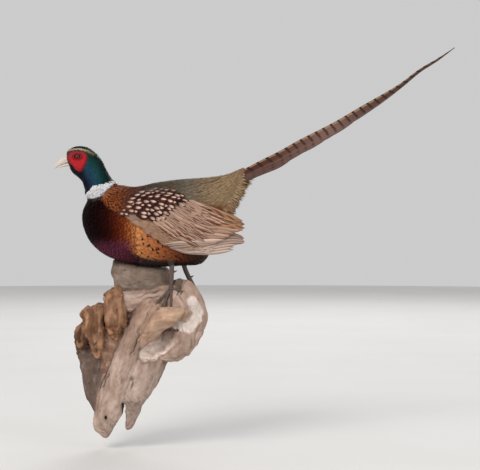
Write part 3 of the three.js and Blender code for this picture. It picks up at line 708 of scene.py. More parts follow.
# Lines (x, z) on the side: the two edges of the white ring, the pale brow and ear tuft, and the
# lower edge of the golden flank. The mantle's front edge gives x for each height z.
RING_LOW = np.array([
    [-118, 243], [-107, 236.5], [-93, 235.5], [-84, 239], [-76, 245], [-68, 254.5], [-57, 268],
])
RING_HIGH = np.array([
    [-118, 245], [-111, 250.5], [-105, 252.5], [-102, 258.5], [-94, 261], [-80, 262.5], [-74, 265],
    [-66, 268], [-57, 271],
])
MANTLE_FRONT = np.array([[204, -36], [207, -41], [211, -53], [218, -64], [228, -74], [240, -80]])
BROW_LINE = [(-151, 329.5), (-140, 332.3), (-129, 333.6), (-113, 330), (-101, 324.5)]
EAR_LINE = [(-93.5, 321), (-82.5, 311)]
GOLD_LOW = np.array([[-40, 142], [-12, 127], [10, 121], [40, 118], [75, 115], [95, 118]])
# Colour ramps: places along X, or for the neck down its section, and the colours there.
NECK_TONES = ([0, 0.14, 0.33, 0.5, 0.68, 0.86, 1],
              [(4, 20, 16), (5, 36, 30), (6, 56, 58), (13, 57, 72), (23, 51, 75), (10, 15, 30), (3, 3, 8)])
BREAST_TONES = ([-118, -88, -68, -53, -38, -26, -12],
                [(14, 2, 3), (22, 3, 3), (42, 9, 4), (80, 28, 12), (112, 48, 22), (160, 90, 48),
                 (194, 126, 76)])
FLANK_TONES = ([-12, 30, 60, 84, 110],
               [(194, 126, 76), (160, 92, 52), (116, 58, 32), (66, 36, 22), (40, 24, 16)])
BELLY_TONES = ([-60, -25, 0, 30, 70, 110],
               [(86, 38, 56), (84, 40, 50), (42, 38, 44), (36, 28, 26), (38, 22, 16), (32, 20, 14)])
RUMP_TONES = ([-14, 30, 62, 80, 100, 125, 160, 198],
              [(62, 46, 40), (84, 72, 60), (92, 80, 64), (106, 98, 84), (118, 102, 82), (136, 114, 86),
               (142, 118, 88), (132, 104, 78)])
MANTLE_TONES = ([-76, -45, -22, -6, 20],
                [(142, 78, 42), (132, 70, 38), (106, 58, 40), (74, 52, 44), (84, 70, 60)])
WHITE = (226, 224, 226)


def down_of(p, t):
    """How far down its section a point lies: 0 at the back of the neck, 1 under the throat."""
    row = spline(BODY, t)
    top, bottom = row[..., 0:2], row[..., 2:4]
    d = bottom - top
    return (((p[..., [0, 2]] - top) * d).sum(-1) / np.maximum((d * d).sum(-1), 1e-6)).clip(0, 1)


def collar(x, z):
    """True between the two edges of the white ring."""
    low = np.interp(x, *RING_LOW.T)
    high = np.interp(x, *RING_HIGH.T)
    return (z > low) & (z < high) & (x < -55)


def over_collar(x, z):
    """True for the neck and head above the white ring."""
    high = np.interp(x, *RING_HIGH.T)
    return (z >= high) & (x < -50)


def head_tones(x, z, down):
    """Glossy dark head and neck: green at the nape, through teal and blue, to black at the
    throat; bronze crown, pale brow and ear line."""
    crown = stops(z, [318, 330, 338], [(12, 34, 30), (40, 46, 28), (24, 26, 16)])
    brow, _ = near_path(x, z, BROW_LINE)
    ear, _ = near_path(x, z, EAR_LINE)
    return layered(
        stops(down, *NECK_TONES),
        (crown, smooth(z, 312, 328) * smooth(-x, 88, 100)),
        ((12, 18, 28), smooth(-x, 112, 124) * smooth(-z, -312, -300)),
        ((70, 76, 50), smooth(-brow, -5.5, -2.5) * smooth(x, -126, -112)),
        (blend(rgb(180, 164, 146), rgb(112, 112, 90), smooth(x, -122, -104)), smooth(-brow, -2.2, -0.9)),
        ((112, 122, 104), smooth(-ear, -1.7, -0.7)),
    )


def trunk_tones(x, z, down):
    """Breast, mantle, back, rump, flank and belly colours from the place on the side."""
    over_gold = z - np.interp(x, *GOLD_LOW.T)
    past_mantle = x - np.interp(z, *MANTLE_FRONT.T)
    violet = smooth(-z, -165, -138) * (1 - smooth(x, -34, -12)) * smooth(x, -112, -88)
    chestnut = smooth(x, 92, 112) * smooth(z, 190, 200) * (1 - smooth(z, 216, 230))
    return layered(
        stops(x, *BREAST_TONES),
        (stops(x, *FLANK_TONES), smooth(x, -14, -8)),
        ((104, 48, 70), violet * 0.85),
        (stops(x, *BELLY_TONES), smooth(-over_gold, -2, 7) * smooth(x, -48, -28)),
        ((34, 24, 20), smooth(down, 0.92, 1.0) * smooth(x, -60, 0)),
        (stops(x, *RUMP_TONES), smooth(z, 214, 226) * smooth(x, -20, 0)),
        ((128, 66, 36), chestnut * 0.8),
        ((52, 33, 24), smooth(x, 84, 108) * (1 - smooth(z, 150, 196))),
        (stops(x, *MANTLE_TONES), smooth(past_mantle, -3, 3) * smooth(z, 202, 208) * (1 - smooth(x, -2, 22))),
    )


def body_tones(p, t):
    """The coat's colour at points of the body at stations t; the skin carries the same."""
    x, z = seen(p)
    down = down_of(p, t)
    tone = trunk_tones(x, z, down)
    tone = np.where(over_collar(x, z)[..., None], head_tones(x, z, down), tone)
    return np.where(collar(x, z)[..., None], rgb(*WHITE), tone)


def wing_tones(x):
    """Folded wing: plain grey-tan coverts, then pinkish buff towards the tips."""
    return layered(rgb(176, 158, 144),
                   ((152, 118, 96), smooth(x, -36, -14)),
                   ((176, 140, 116), smooth(x, 30, 75)))


# ---- plumage materials


def plumage(name, marks=None, rough=0.55, metallic=0.0, barbs=0.16, shine=0.14, vary=0.28):
    """Feather finish: colour from the feather's own marks, barb lines slanting from the shaft,
    and a fine ridge in relief. `marks` says how far a point of the web turns to the rim colour;
    a web has u from -1 to 1 across the feather, v from 0 to 1 along it, and one chance."""
    f = Finish(name, Roughness=rough, Metallic=metallic, Specular_IOR_Level=shine)
    place = f.mark("vane")
    u, v, chance = f.parts(place)
    web = SimpleNamespace(place=place, u=u, v=v, chance=chance, across=f.maths("ABSOLUTE", u))
    colour = f.mark("tone", "Color")
    if marks:
        colour = f.mix(marks(f, web), colour, f.mark("rim", "Color"))
    lines = f.maths("SINE", (v * 46.0 - web.across * 9.0) * 3.0)
    fine = f.noise(f.place(), 900.0, 2.0)
    colour = f.shade(colour, (1.0 - vary / 2) + vary * chance)
    colour = f.shade(colour, 1.0 + (lines * barbs) * 0.5 + (fine - 0.5) * 0.35)
    shaft = f.step(web.across, 0.0, 0.09)
    colour = f.shade(colour, 0.88 + shaft * 0.12)
    f.bump(lines * 0.5 + shaft * 0.6, 0.00012, 0.6)
    return f.coloured(colour)


def ellipse(f, web, at_v, wide, long):
    """Distance from a point on the shaft, where an ellipse of these half-sizes is at 1."""
    flat = f.maths("POWER", web.across / wide, 2.0)
    return f.maths("SQRT", flat + f.maths("POWER", (web.v - at_v) / long, 2.0))


def patchy(f, web, scale, low, high):
    """Blotches over a feather's own length and width, unlike from one feather to the next."""
    return f.step(f.noise(web.place, scale), low, high)


def oval(f, web):
    """Pale oval inside, dark border outside."""
    wobble = (f.noise(web.place, 4.0) - 0.5) * 0.7
    root_side = (1.0 - f.step(web.v + web.u * 0.1, 0.5, 0.72)) * 0.45
    border = f.step(ellipse(f, web, 0.68, 0.44, 0.28) + web.chance * 0.3 + wobble, 0.75, 1.25)
    return f.maths("MAXIMUM", border, root_side)


def tip_line(f, web):
    """A dark line close to the tip, broken from feather to feather."""
    edge = web.v + web.across * web.across * 0.10
    return f.step(edge, 0.84, 0.9) * f.step(web.chance, 0.15, 0.3)


def wavy_edge(f, web):
    """A thin dark edge down both sides and round the tip, so that rows make wavy lines."""
    sides = f.step(web.across + (f.noise(web.place, 3.0) - 0.5) * 0.3, 0.52, 0.8)
    return f.maths("MAXIMUM", sides * f.step(web.v, 0.3, 0.5), tip_line(f, web) * 0.45) * 0.9


def tip_spot(f, web):
    """A dark spot at the tip of one feather in ten."""
    spot = 1.0 - f.step(ellipse(f, web, 0.8, 1.0, 0.25), 0.7, 1.1)
    return spot * f.step(web.chance, 0.9, 0.91)


def slash(f, web):
    """A short dark slash near the tip of one feather in four."""
    line = 1.0 - f.step(f.maths("ABSOLUTE", web.u - 0.15), 0.12, 0.34)
    return line * f.step(web.v, 0.42, 0.55) * f.step(web.chance, 0.74, 0.76)


def streak(f, web):
    """Dark edges, and now and then a blotched band along the lower web."""
    edge = f.step(web.across + web.u * 0.25, 0.5, 0.85) * patchy(f, web, 2.2, 0.3, 0.5)
    lower = f.step(web.u, -0.8, -0.5) * (1.0 - f.step(web.u, 0.0, 0.3))
    heavy = f.step(web.chance, 0.55, 0.6) * f.step(web.across, 0.3, 0.6)
    dark = f.maths("MAXIMUM", edge, heavy * patchy(f, web, 1.6, 0.36, 0.46))
    band = lower * patchy(f, web, 2.0, 0.44, 0.56) * 0.8
    return f.maths("MAXIMUM", dark, band) * f.step(web.v, 0.1, 0.3)


def mottled(f, web):
    """Brown bars and blotches inside a pale edge, over a dark outermost line."""
    bars = f.step(f.maths("SINE", web.v * 26.0 + web.u * 5.0 + web.chance * 9.0), -0.4, 0.6)
    inner = (1.0 - f.step(web.across, 0.4, 0.66)) * (0.45 + 0.55 * bars)
    inner = inner * patchy(f, web, 2.4, 0.36, 0.5)
    return f.maths("MAXIMUM", inner, f.step(web.across, 0.76, 0.92) * 0.85)


def banded(f, web):
    """A grey-brown band along the lower web and a thin dark edge above."""
    lower = (1.0 - f.step(web.u, -0.3, 0.0)) * (0.35 + 0.45 * patchy(f, web, 3.0, 0.4, 0.6))
    return f.maths("MAXIMUM", lower, f.step(web.u, 0.66, 0.9) * 0.9)


plain_feather = plumage("plain plumage")
covert_feather = plumage("smooth covert plumage", slash, barbs=0.1, vary=0.1)
glossy_feather = plumage("glossy neck plumage", rough=0.4, metallic=0.3, barbs=0.3)
white_feather = plumage("white collar plumage", barbs=0.06, rough=0.7)
fringed_feather = plumage("fringed plumage", wavy_edge, shine=0.06)
copper_feather = plumage("copper breast plumage", tip_line, rough=0.5, metallic=0.08, shine=0.03)
spotted_feather = plumage("spotted flank plumage", tip_spot, rough=0.5)
laced_feather = plumage("laced shoulder plumage", oval)
streaked_feather = plumage("streaked wing plumage", streak)
mottled_feather = plumage("mottled tertial plumage", mottled)
banded_feather = plumage("banded quill plumage", banded)

# ---- skin

# Stations of the body, and the coat's depth there.
DEPTH = ([0, 1, 3, 6, 9, 12, 18, 22, 24], [0.3, 0.8, 1.2, 2.0, 3.4, 5.0, 5.5, 4.0, 2.0])


def depth_at(t):
    """Depth of the coat over the skin at station t, less where the section is narrow."""
    return np.minimum(np.interp(t, *DEPTH), 0.5 * spline(BODY, t)[..., 4])


# Path of each thigh under the coat, by side, and its radii from the body down.
THIGHS = {
    -1: [(40, -116, 146), (49, -117, 122), (54, -117, 107)],
    1: [(62, -66, 146), (70, -65, 122), (76, -65, 106)],
}
THIGH_RADII = (14.5, 9.0, 5.4)
# The skin of a folded wing: how far it lies under the feathers, how much of its width and
# thickness the feathers take, its least thickness, and the station where it ends.
WING_SKIN = {"under": 2.0, "width": 0.9, "thinner": 2.6, "least": 1.6}
WING_SKIN_ENDS = ((WING, 8.6), (PRIMARIES, 4.5))
SKIN_VOXEL = 2.0


def wing_skin(table, end, side):
    """Closed sections of one wing's skin: flat outside, half an ellipse inside."""
    s = np.linspace(0.3, end, 60)
    angle = np.linspace(0, 2 * np.pi, 36, endpoint=False)
    grid_s, grid_angle = grid_of(s, angle)
    rings = blade_at(table, side)(grid_s, np.cos(grid_angle) * WING_SKIN["width"])
    depth = (spline(table, grid_s)[..., 7] - WING_SKIN["thinner"]).clip(WING_SKIN["least"], None)
    rings[..., 1] -= side * (WING_SKIN["under"] + np.maximum(0, -np.sin(grid_angle)) * depth)
    return rings


def skin_tones(points):
    """The coat's colours at points of the skin, the wings' own past their inner edge, and dark
    at the foot of the thighs."""
    x, y, z = points.T
    station = np.interp(x, [-153, -110, -60, 0, 100, 198], [0, 5, 10, 13.5, 17.5, 24])
    winged = np.abs(y - MID) > np.interp(x, [-30, 40, 190], [68, 64, 40])
    tone = np.where(winged[:, None], wing_tones(x), body_tones(points, station))
    return blend(tone, rgb(44, 31, 26), smooth(-z, -121, -114) * smooth(x, 20, 34))


def bare_skin():
    """The finish under the coat: the coat's own colours, darker and slightly rough."""
    f = Finish("skin under the coat", Roughness=0.7)
    fine = f.noise(f.place(), 420.0, 4.0)
    f.bump(fine, 0.0006, 0.7)
    return f.coloured(f.shade(f.mark("tone", "Color"), 0.45 + fine * 0.5))


def side_unwrap(points, upper):
    """Bake map of a closed shape seen from its two sides, one above the other."""
    low, high = points.min(0), points.max(0)
    part = (points - low) / (high - low)
    return np.stack([part[:, 0], 0.5 * part[:, 2] + 0.5 * upper], -1)


def build_skin():
    """One skin: the body loft, both folded wings and both thighs, set in by the coat's depth,
    joined by voxels; each point takes the coat's colour at its place."""
    t = np.linspace(0.02, TAIL_END - 0.05, 150)
    a = np.linspace(-np.pi, np.pi, 72, endpoint=False)
    grid_t, grid_a = grid_of(t, a)
    p, normal, _, _ = body.frame(grid_t, grid_a)
    parts = [p - normal * depth_at(grid_t)[..., None]]
    parts += [wing_skin(table, end, side) for table, end in WING_SKIN_ENDS for side in (-1, 1)]
    parts += [pipe(path, THIGH_RADII, 20, 30) for path in THIGHS.values()]
    points, faces = largest_part(*voxel_union("skin source", *tubes(parts), SKIN_VOXEL))
    uv = side_unwrap(points, points[:, 1] > MID)
    return mesh_from("skin", points, faces, uv, {"tone": skin_tones(points)}, bare_skin())


both_sides = [f"{part}_{side}" for part in ("wing", "primaries", "thigh") for side in ("left", "right")]
hand_in(build_skin(), "trunk", "head", "neck", "trunk", *both_sides)

# ---- body coat

# The cheek is bare over this share of the wattle's outline, about this middle.
CHEEK_MIDDLE, CHEEK_SHARE = np.array([-131.0, 311.0]), 29 / 30
FLANK_FRONT = -22  # place along X where the breast ends and the flank begins
# Stations along the back, and the feathers' length there.
BACK_LENGTH = ([13, 15, 19, 20, 21, 22, 23, 24], [22, 24, 36, 33, 25, 17, 9, 4])
# The rear edge of the trunk: its heights and the places along X there.
REAR_EDGE = np.array([(163, 150), (208, 168), (239, 182), (256, 191), (268, 198), (292, 197)], float)


def body_batch(s_span, room, length, width, keep, seed, sink=None, **how):
    """Feathers over one tract of the body, all the way round it; a length or width may change
    with the station."""
    s, r = scatter(body, s_span, (-np.pi, np.pi), room, keep, seed)
    at_station = lambda value: value(s) if callable(value) else value
    sink = depth_at(s) + 0.4 if sink is None else sink
    batch = feathers(body, s, r, at_station(length), at_station(width), sink, seed=seed, **how)
    batch["tone"] = body_tones(batch["tip"], s)
    return batch


def toned(batch, rim=None):
    """Paints a batch with the body's markings at the part of each feather that shows."""
    return paint(batch, batch["tone"], rim)


def head_keep(p):
    """The neck and head over the collar, less the bare cheek and the place of the bill."""
    x, z = seen(p)
    cheek = CHEEK_MIDDLE + (np.array(WATTLE, float) - CHEEK_MIDDLE) * CHEEK_SHARE
    bill = (x < -141) & (z < 321) & (z > 298.5) & (np.abs(p[..., 1] - MID) < 8)
    return ~(inside(x, z, cheek) | bill) & over_collar(x, z)


def collar_keep(p):
    x, z = seen(p)
    return collar(x + 3, z - 5.5) & (x < -62)


def below(p):
    """True for the trunk below the collar, less the mantle and what the folded wing hides."""
    x, z = seen(p)
    return ~over_collar(x, z) & ~collar(x, z) & ~mantle_part(p) & ~under_wing(p)


def mantle_part(p):
    x, z = seen(p)
    return (x > np.interp(z, *MANTLE_FRONT.T)) & (z > 204)


def under_wing(p):
    """True where the folded wing hides the body."""
    x, z = seen(p)
    top, low = (np.interp(x, WING[:, k], WING[:, k + 1]) for k in (0, 2))
    return (x > -22) & (x < 150) & (z < top - 12) & (z > low + 10)


def mantle_keep(p):
    x, z = seen(p)
    return ~over_collar(x, z) & ~collar(x, z) & mantle_part(p) & (x < 5)


def flank_keep(p):
    return below(p) & (p[..., 0] >= FLANK_FRONT) & (p[..., 2] < 215)


def back_keep(p):
    return (p[..., 0] >= -13) & (p[..., 2] > 206) & ~under_wing(p)


def fringe_keep(p):
    x, z = seen(p)
    return (x > np.interp(z, *REAR_EDGE.T) - 20) & (z > 196)


def head_coat():
    """Small feathers over the face and crown, larger down the neck to the collar."""
    face = body_batch((0.35, 5.2), 1.9, lambda s: 3.2 + 0.55 * s, lambda s: 1.9 + 0.22 * s, head_keep,
                      11, lift=0.15, rows=3)
    neck = body_batch((5.2, 10.5), 2.7, lambda s: 5.2 + 0.55 * s, lambda s: 2.4 + 0.3 * s, head_keep,
                      12, lift=0.2)
    return [toned(face), toned(neck)]


def collar_coat():
    batch = body_batch((7.0, 10.5), 2.4, 7.5, 4.4, collar_keep, 21, lift=1.0, sink=3.0)
    return [paint(batch, np.broadcast_to(rgb(*WHITE), batch["tone"].shape))]


def breast_coat():
    batch = body_batch((8.6, 17), 4.4, 14.0, 8.6, lambda p: below(p) & (p[..., 0] < FLANK_FRONT), 31,
                       lift=0.4)
    return [toned(batch, blend(rgb(10, 2, 3), batch["tone"], 0.4))]


def flank_coat():
    batch = body_batch((11.5, 20), 4.8, 17.0, 8.5, flank_keep, 32, lift=0.6)
    return [toned(batch, np.broadcast_to(rgb(40, 18, 11), batch["tone"].shape))]


def mantle_coat():
    """Dark-edged feathers in front, whose edges fade towards the back."""
    batch = body_batch((9, 15.5), 4.2, 15.0, 7.4, mantle_keep, 33, lift=1.1)
    fade = smooth(batch["tip"][:, 0], -26, 2)
    return [toned(batch, blend(rgb(34, 15, 9), batch["tone"] * 0.8, fade))]


def back_coat():
    """Lax feathers of the back, rump and tail coverts."""
    return [toned(body_batch((12, 23.3), 3.5, lambda s: np.interp(s, *BACK_LENGTH), 3.6, back_keep, 34,
                             lift=0.7, form=hairlike, wave=1.6, rows=5))]


def fringe_coat():
    """Loose covert tips that stand past the end of the body, level above and drooping below."""
    s, r = scatter(body, (17.0, 23.4), (-2.9, 2.9), 1.9, fringe_keep, 35, clear=1.0)
    z = body.at(s, r)[:, 2]
    rng = np.random.default_rng(37)
    angle = np.radians(np.interp(z, [196, 240, 290], [-48, -22, 14]) + rng.normal(0, 7, len(s)))
    aim = heading(angle, rng.normal(0, 0.08, len(s)))
    length = 9 + 22 * rng.random(len(s)) ** 1.8
    batch = feathers(body, s, r, length, 2.0, 1.4, 0.0, aim, form=hairlike, rows=5, seed=36, sway=0.1,
                     wave=1.0, straight=True)
    pale = rng.uniform(0.1, 0.6, len(s))
    return [paint(batch, blend(body_tones(batch["tip"], s), rgb(184, 160, 124), pale))]


TRACTS = (
    ("head_and_neck_feathers", head_coat, glossy_feather, "head"),
    ("collar_feathers", collar_coat, white_feather, "neck"),
    ("breast_feathers", breast_coat, copper_feather, "trunk"),
    ("flank_and_belly_feathers", flank_coat, spotted_feather, "trunk"),
    ("mantle_feathers", mantle_coat, fringed_feather, "trunk"),
    ("back_and_rump_feathers", back_coat, plain_feather, "trunk"),
    ("tail_covert_fringe", fringe_coat, plain_feather, "trunk"),
)
for name, build, finish, slot in TRACTS:
    hand_in(coat(name, build(), finish), slot)

# ---- wings

# Outline (x, z) of the shoulder feathers.
SHOULDER = [
    (-38, 208), (-34, 218), (-25, 226), (-13, 241), (0, 251), (11, 254), (29, 255), (45, 252), (64, 247),
    (80, 239), (91, 229), (80, 222), (65, 219), (57, 208), (45, 197), (32, 195), (8, 198), (-18, 204),
    (-36, 203),
]
ROW_STEPS = 14  # steps along each feather of a row
# Rows of long feathers over the folded wing, from the lowest layer up: first and last root (x, z),
# how many, first and last length, width, first and last slope below level, height over the blade,
# colours of the vane and of its marks.
WING_ROWS = {
    "secondary_quills": [
        ((50, 152), (112, 188), 8, 116, 80, 12.5, -3, 10, 0.4, (180, 146, 126), (118, 82, 66)),
        ((44, 150), (52, 142), 3, 120, 108, 8.5, -1, -7, 1.3, (196, 170, 154), (132, 100, 86)),
    ],
    "tertial_quills": [
        ((88, 231), (92, 194), 5, 118, 108, 17.0, 22, 6, 1.9, (162, 126, 96), (98, 58, 38)),
    ],
    "greater_coverts": [
        ((48, 172), (104, 218), 11, 62, 62, 9.6, 24, 22, 2.6, (178, 145, 125), (84, 48, 35)),
        ((22, 192), (88, 232), 12, 60, 56, 9.2, 38, 24, 3.1, (184, 150, 130), (78, 42, 30)),
    ],
}


def reach(shell, s, r, aim, length):
    """Length cut so that a feather ends on the blade's outline."""
    _, normal, ps, pr = shell.frame(s, r)
    d = unit(aim - (aim * normal).sum(-1, keepdims=True) * normal)
    ds, dr = shell.steps(ps, pr, d)
    room_s = (shell.span[1] - s) / np.maximum(ds, 1e-6)
    room_r = np.where(dr > 0, 1 - r, 1 + r) / np.maximum(np.abs(dr), 1e-6)
    return np.minimum(length, np.minimum(room_s, room_r) / 1.1)


def flow(x, z):
    """Way the wing feathers point: down and back over the middle, level near the edge."""
    down = np.interp(x, [-40, 0, 40, 80, 120, 200], [10, 22, 34, 36, 24, 4]) * smooth(z, 128, 165)
    return heading(np.radians(-down))


def covert_keep(p):
    x, z = seen(p)
    return (z < 232 - 0.35 * np.maximum(x, 0)) & ~inside(x, z + 6, SHOULDER)


def wing_coverts(side):
    """Small plain feathers over the front of the wing."""
    shell = wings[side]
    seed = 40 if side < 0 else 50
    s, r = scatter(shell, (0.05, 5.0), (-0.97, 0.97), 4.6, covert_keep, seed)
    p = shell.at(s, r)
    aim = flow(p[:, 0], p[:, 2])
    length = reach(shell, s, r, aim, 12 + 6 * smooth(p[:, 0], -30, 50))
    plain = feathers(shell, s, r, length, 7.8, 1.2, 0.15, aim, seed=seed + 1, camber=0.08)
    tone = wing_tones(p[:, 0])
    return paint(plain, tone, blend(tone, rgb(98, 66, 48), smooth(p[:, 0], -6, 14)))


def outline_of(table):
    """Closed outline of a blade in the side view."""
    row = spline(table, np.linspace(0, len(table) - 1, 80))
    return np.vstack([row[:, 0:2], row[::-1, 2:4]])


def wing_row(side, row, tile, seed):
    """A row of long feathers, each straight in the side view and cut to end on the wing's
    outline; each lies a little higher than the one below it."""
    (x0, z0), (x1, z1), count, long0, long1, width, slope0, slope1, height, vane, mark = row
    shell = wings[side]
    part = np.linspace(0, 1, count)
    rng = np.random.default_rng(seed)
    x, z = x0 + (x1 - x0) * part, z0 + (z1 - z0) * part
    slope = np.radians(slope0 + (slope1 - slope0) * part + rng.normal(0, 1.8, count))
    length = (long0 + (long1 - long0) * part) * rng.uniform(0.84, 1.08, count)
    aim = heading(-slope)
    way = aim[:, [0, 2]]
    probe = np.linspace(0, 1, 60) * length[:, None]
    within = inside(x[:, None] + way[:, :1] * probe, z[:, None] + way[:, 1:] * probe, outline_of(WING))
    length = (probe * np.minimum.accumulate(within | (probe < 20), axis=1)).max(1)
    run = length[:, None] * stations(ROW_STEPS)
    at_x, at_z = x[:, None] + way[:, :1] * run, z[:, None] + way[:, 1:] * run
    course = [value.reshape(run.shape) for value in shell.find(at_x.ravel(), at_z.ravel(), (-1, 1))]
    rank = 0.9 * (part if z1 > z0 else 1 - part)
    batch = feathers(shell, course[0][:, 0], course[1][:, 0], length, width, -height - rank,
                     height + rank + 0.4, aim, form=pointed, rows=ROW_STEPS, cols=7, tile=tile, seed=seed,
                     sway=0.0, camber=0.2, course=course)
    tint = rng.uniform(0.88, 1.08, count)[:, None]
    return paint(batch, rgb(*vane) * tint, np.broadcast_to(rgb(*mark), (count, 3)) * tint)


def primary_batches(side):
    """Long narrow outer feathers stacked along the wing's lower edge, paler downwards."""
    shell = primaries[side]
    u = np.linspace(-0.86, 0.86, 7)
    length = 168 - 6 * np.abs(u - 0.2) * 4
    batch = feathers(shell, np.full(7, 0.15), u, length, 8.5, 0.6, 0.5, form=pointed, rows=24, cols=7,
                     tile=(0, 0.55, 1, 1), seed=60, sway=0.0)
    pale = (1 - u) / 2
    light, mark = (rgb(134, 104, 92), rgb(206, 184, 170)), (rgb(88, 62, 52), rgb(128, 98, 86))
    everywhere = lambda p: np.full(p.shape[:-1], True)
    s, r = scatter(shell, (0.02, 2.0), (-0.9, 0.95), 5.2, everywhere, 61)
    short = feathers(shell, s, r, 30, 5.4, 0.2, 1.0, form=pointed, rows=8, cols=5,
                     tile=(0, 0, 1, 0.5), seed=62, sway=0.05)
    return [paint(batch, blend(*light, pale), blend(*mark, pale)),
            paint(short, blend(rgb(170, 140, 122), light[1], (1 - r) / 2), blend(*mark, (1 - r) / 2))]


def scapular_batch(side):
    """Staggered rows of dark feathers with a pale oval, draped from the back over the wing."""
    shell = sides[side]
    i, j = grid_of(np.arange(-8, 14), np.arange(-6, 12))
    rng = np.random.default_rng(70)
    x = 10 + i * 11.8 + (j % 2) * 5.9 + rng.normal(0, 1.6, i.shape)
    z = 226 + j * 7.0 - 0.16 * (x - 10) + rng.normal(0, 1.1, i.shape)
    keep = inside(x, z, SHOULDER)
    x, z = x[keep], z[keep]
    slope = np.radians(np.interp(x, [-38, 10, 90], [8, 22, 34]) + rng.normal(0, 4, len(x)))
    aim = heading(-slope)
    front = smooth(-x, 18, 36)
    size = rng.uniform(0.82, 1.12, len(x)) * (1 - 0.2 * smooth(z, 236, 252))
    length, width = (22 - 7 * front) * size, (12.4 - 4 * front) * size
    root = np.stack([x, z], -1) - aim[:, [0, 2]] * (length * 0.72)[:, None]
    root[:, 1] = np.minimum(root[:, 1], 254)
    ridge = np.interp(root[:, 0], BODY[8:, 0], BODY[8:, 1])
    low = root[:, 1] < ridge - 9
    root, aim, length, width, x, z = (value[low] for value in (root, aim, length, width, x, z))
    batch = feathers(shell, root[:, 0], root[:, 1], length, width, -1.2, 3.6, aim, rows=8, cols=7,
                     seed=71 + side, sway=0.0)
    far = smooth(z + rng.normal(0, 2, len(x)), 236, 252)
    centre = blend(rgb(204, 170, 152), rgb(140, 118, 106), far) * rng.uniform(0.82, 1.08, len(x))[:, None]
    border = blend(rgb(54, 24, 17), rgb(80, 58, 50), far)
    border = blend(border, rgb(88, 48, 31), smooth(-x, 6, 30) * 0.8)
    return paint(batch, centre, border)


ROW_FINISH = {
    "secondary_quills": banded_feather, "tertial_quills": mottled_feather,
    "greater_coverts": streaked_feather,
}
for side, name in SIDES:
    hand_in(coat(f"wing_coverts_{name}", [wing_coverts(side)], covert_feather), "wing")
    for kind, rows in WING_ROWS.items():
        share = 1 / len(rows)
        batches = [wing_row(side, row, (0, k * share, 1, (k + 1) * share), 80 + 7 * k + side)
                   for k, row in enumerate(rows)]
        hand_in(coat(f"{kind}_{name}", batches, ROW_FINISH[kind]), "wing")
    hand_in(coat(f"primary_quills_{name}", primary_batches(side), banded_feather), "primaries")
    hand_in(coat(f"shoulder_feathers_{name}", [scapular_batch(side)], laced_feather), "wing")

# ---- tail

# The tail's ridge line (x, z), and how deep its middle feather hangs under each point of it.
RIDGE = np.array([[170, 282], [224, 310.5], [263, 330], [302, 352], [367, 385], [419, 415.5], [458, 437.5],
                  [497, 461], [536, 490], [571, 510.5], [604, 532]])
TAIL_ROOT = 170  # place along X where every tail feather starts
PATTERN_LENGTH = 560  # the length over which bars and tones are laid out
END_ROUND = 58  # the length over which a side feather's end closes
VANE_DEPTH = 0.55  # thickness of a tail feather
ROOF_SLOPE = 0.72  # how far a feather spreads out for each millimetre it hangs down
MIDDLE_DEPTHS = [13, 16, 17, 18, 20, 20, 15.8, 10, 7, 5, 1.4]
# Each pair beside the middle one: its end along X, its depth under the ridge at root and end.
SIDE_PAIRS = [(206, 25, 28), (228, 24, 32), (266, 22.6, 31), (302, 22, 35), (336, 20.8, 31), (367, 20, 30),
              (396, 18, 26), (423, 16, 25)]
# Parts of the pattern's length, and the colour of the feathers' middle web there.
TAIL_TONES = ([0, 0.14, 0.26, 0.38, 0.5, 0.62, 0.75, 1.0],
              [(70, 34, 26), (76, 40, 30), (98, 66, 56), (116, 88, 78), (90, 64, 54), (74, 50, 42),
               (66, 50, 42), (84, 68, 56)])


def tail_vane(side, end, root_depth, end_depth, layer):
    """One tail feather as a closed thin blade. It hangs from the ridge line like one slope of
    a roof; across it the distance out bends as a parabola, and its end closes round."""
    t = np.linspace(0, len(RIDGE) - 1, 900)
    ridge = spline(RIDGE, t)
    x = np.linspace(TAIL_ROOT, end, max(24, int((end - TAIL_ROOT) / 3.4)))
    z = np.interp(x, ridge[:, 0], ridge[:, 1])
    if root_depth is None:
        depth = np.interp(np.interp(x, ridge[:, 0], t), np.arange(len(MIDDLE_DEPTHS)), MIDDLE_DEPTHS)
    else:
        depth = root_depth + (end_depth - root_depth) * (x - TAIL_ROOT) / (end - TAIL_ROOT)
        closing = np.maximum(x - end + END_ROUND, 0) / END_ROUND
        depth = 10 + (depth - 10) * np.sqrt(np.clip(1 - closing**2, 0.02, 1))
    spread = depth * ROOF_SLOPE
    inset = np.minimum(layer * 0.6, spread * 0.4)
    u = np.linspace(1, -1, 9)
    part = ((1 - u) / 2)[None]
    px = x[:, None] + 0.12 * depth[:, None] * part
    pz = (z - inset * 0.4)[:, None] * (1 - part) + (z - depth)[:, None] * part
    upper, middle, lower = 0.35, (spread * 0.62 - inset)[:, None], (spread - inset)[:, None]
    bend = middle + (upper - lower) / 2 * u + ((upper + lower) / 2 - middle) * u * u
    bend = bend + 0.25 * lattice_noise(np.stack([px / 22, pz / 9, px * 0 + layer], -1), 5)
    outer = outward(px, pz, bend, side)
    inner = outer[:, ::-1] - np.array([0, side * VANE_DEPTH, 0])
    inner[..., 1] = MID + side * np.maximum(side * (inner[..., 1] - MID), 0.1)
    ring = np.concatenate([outer, inner], axis=1)
    length = np.concatenate([[0], np.cumsum(np.hypot(np.diff(x), np.diff(z)))])
    phase = np.interp(length, [0, 120, PATTERN_LENGTH], [0, 5.8, 32.5])
    across = np.concatenate([u, u[::-1]])
    vane = np.stack(np.broadcast_arrays(across, (length / PATTERN_LENGTH)[:, None], phase[:, None]), -1)
    return ring, vane


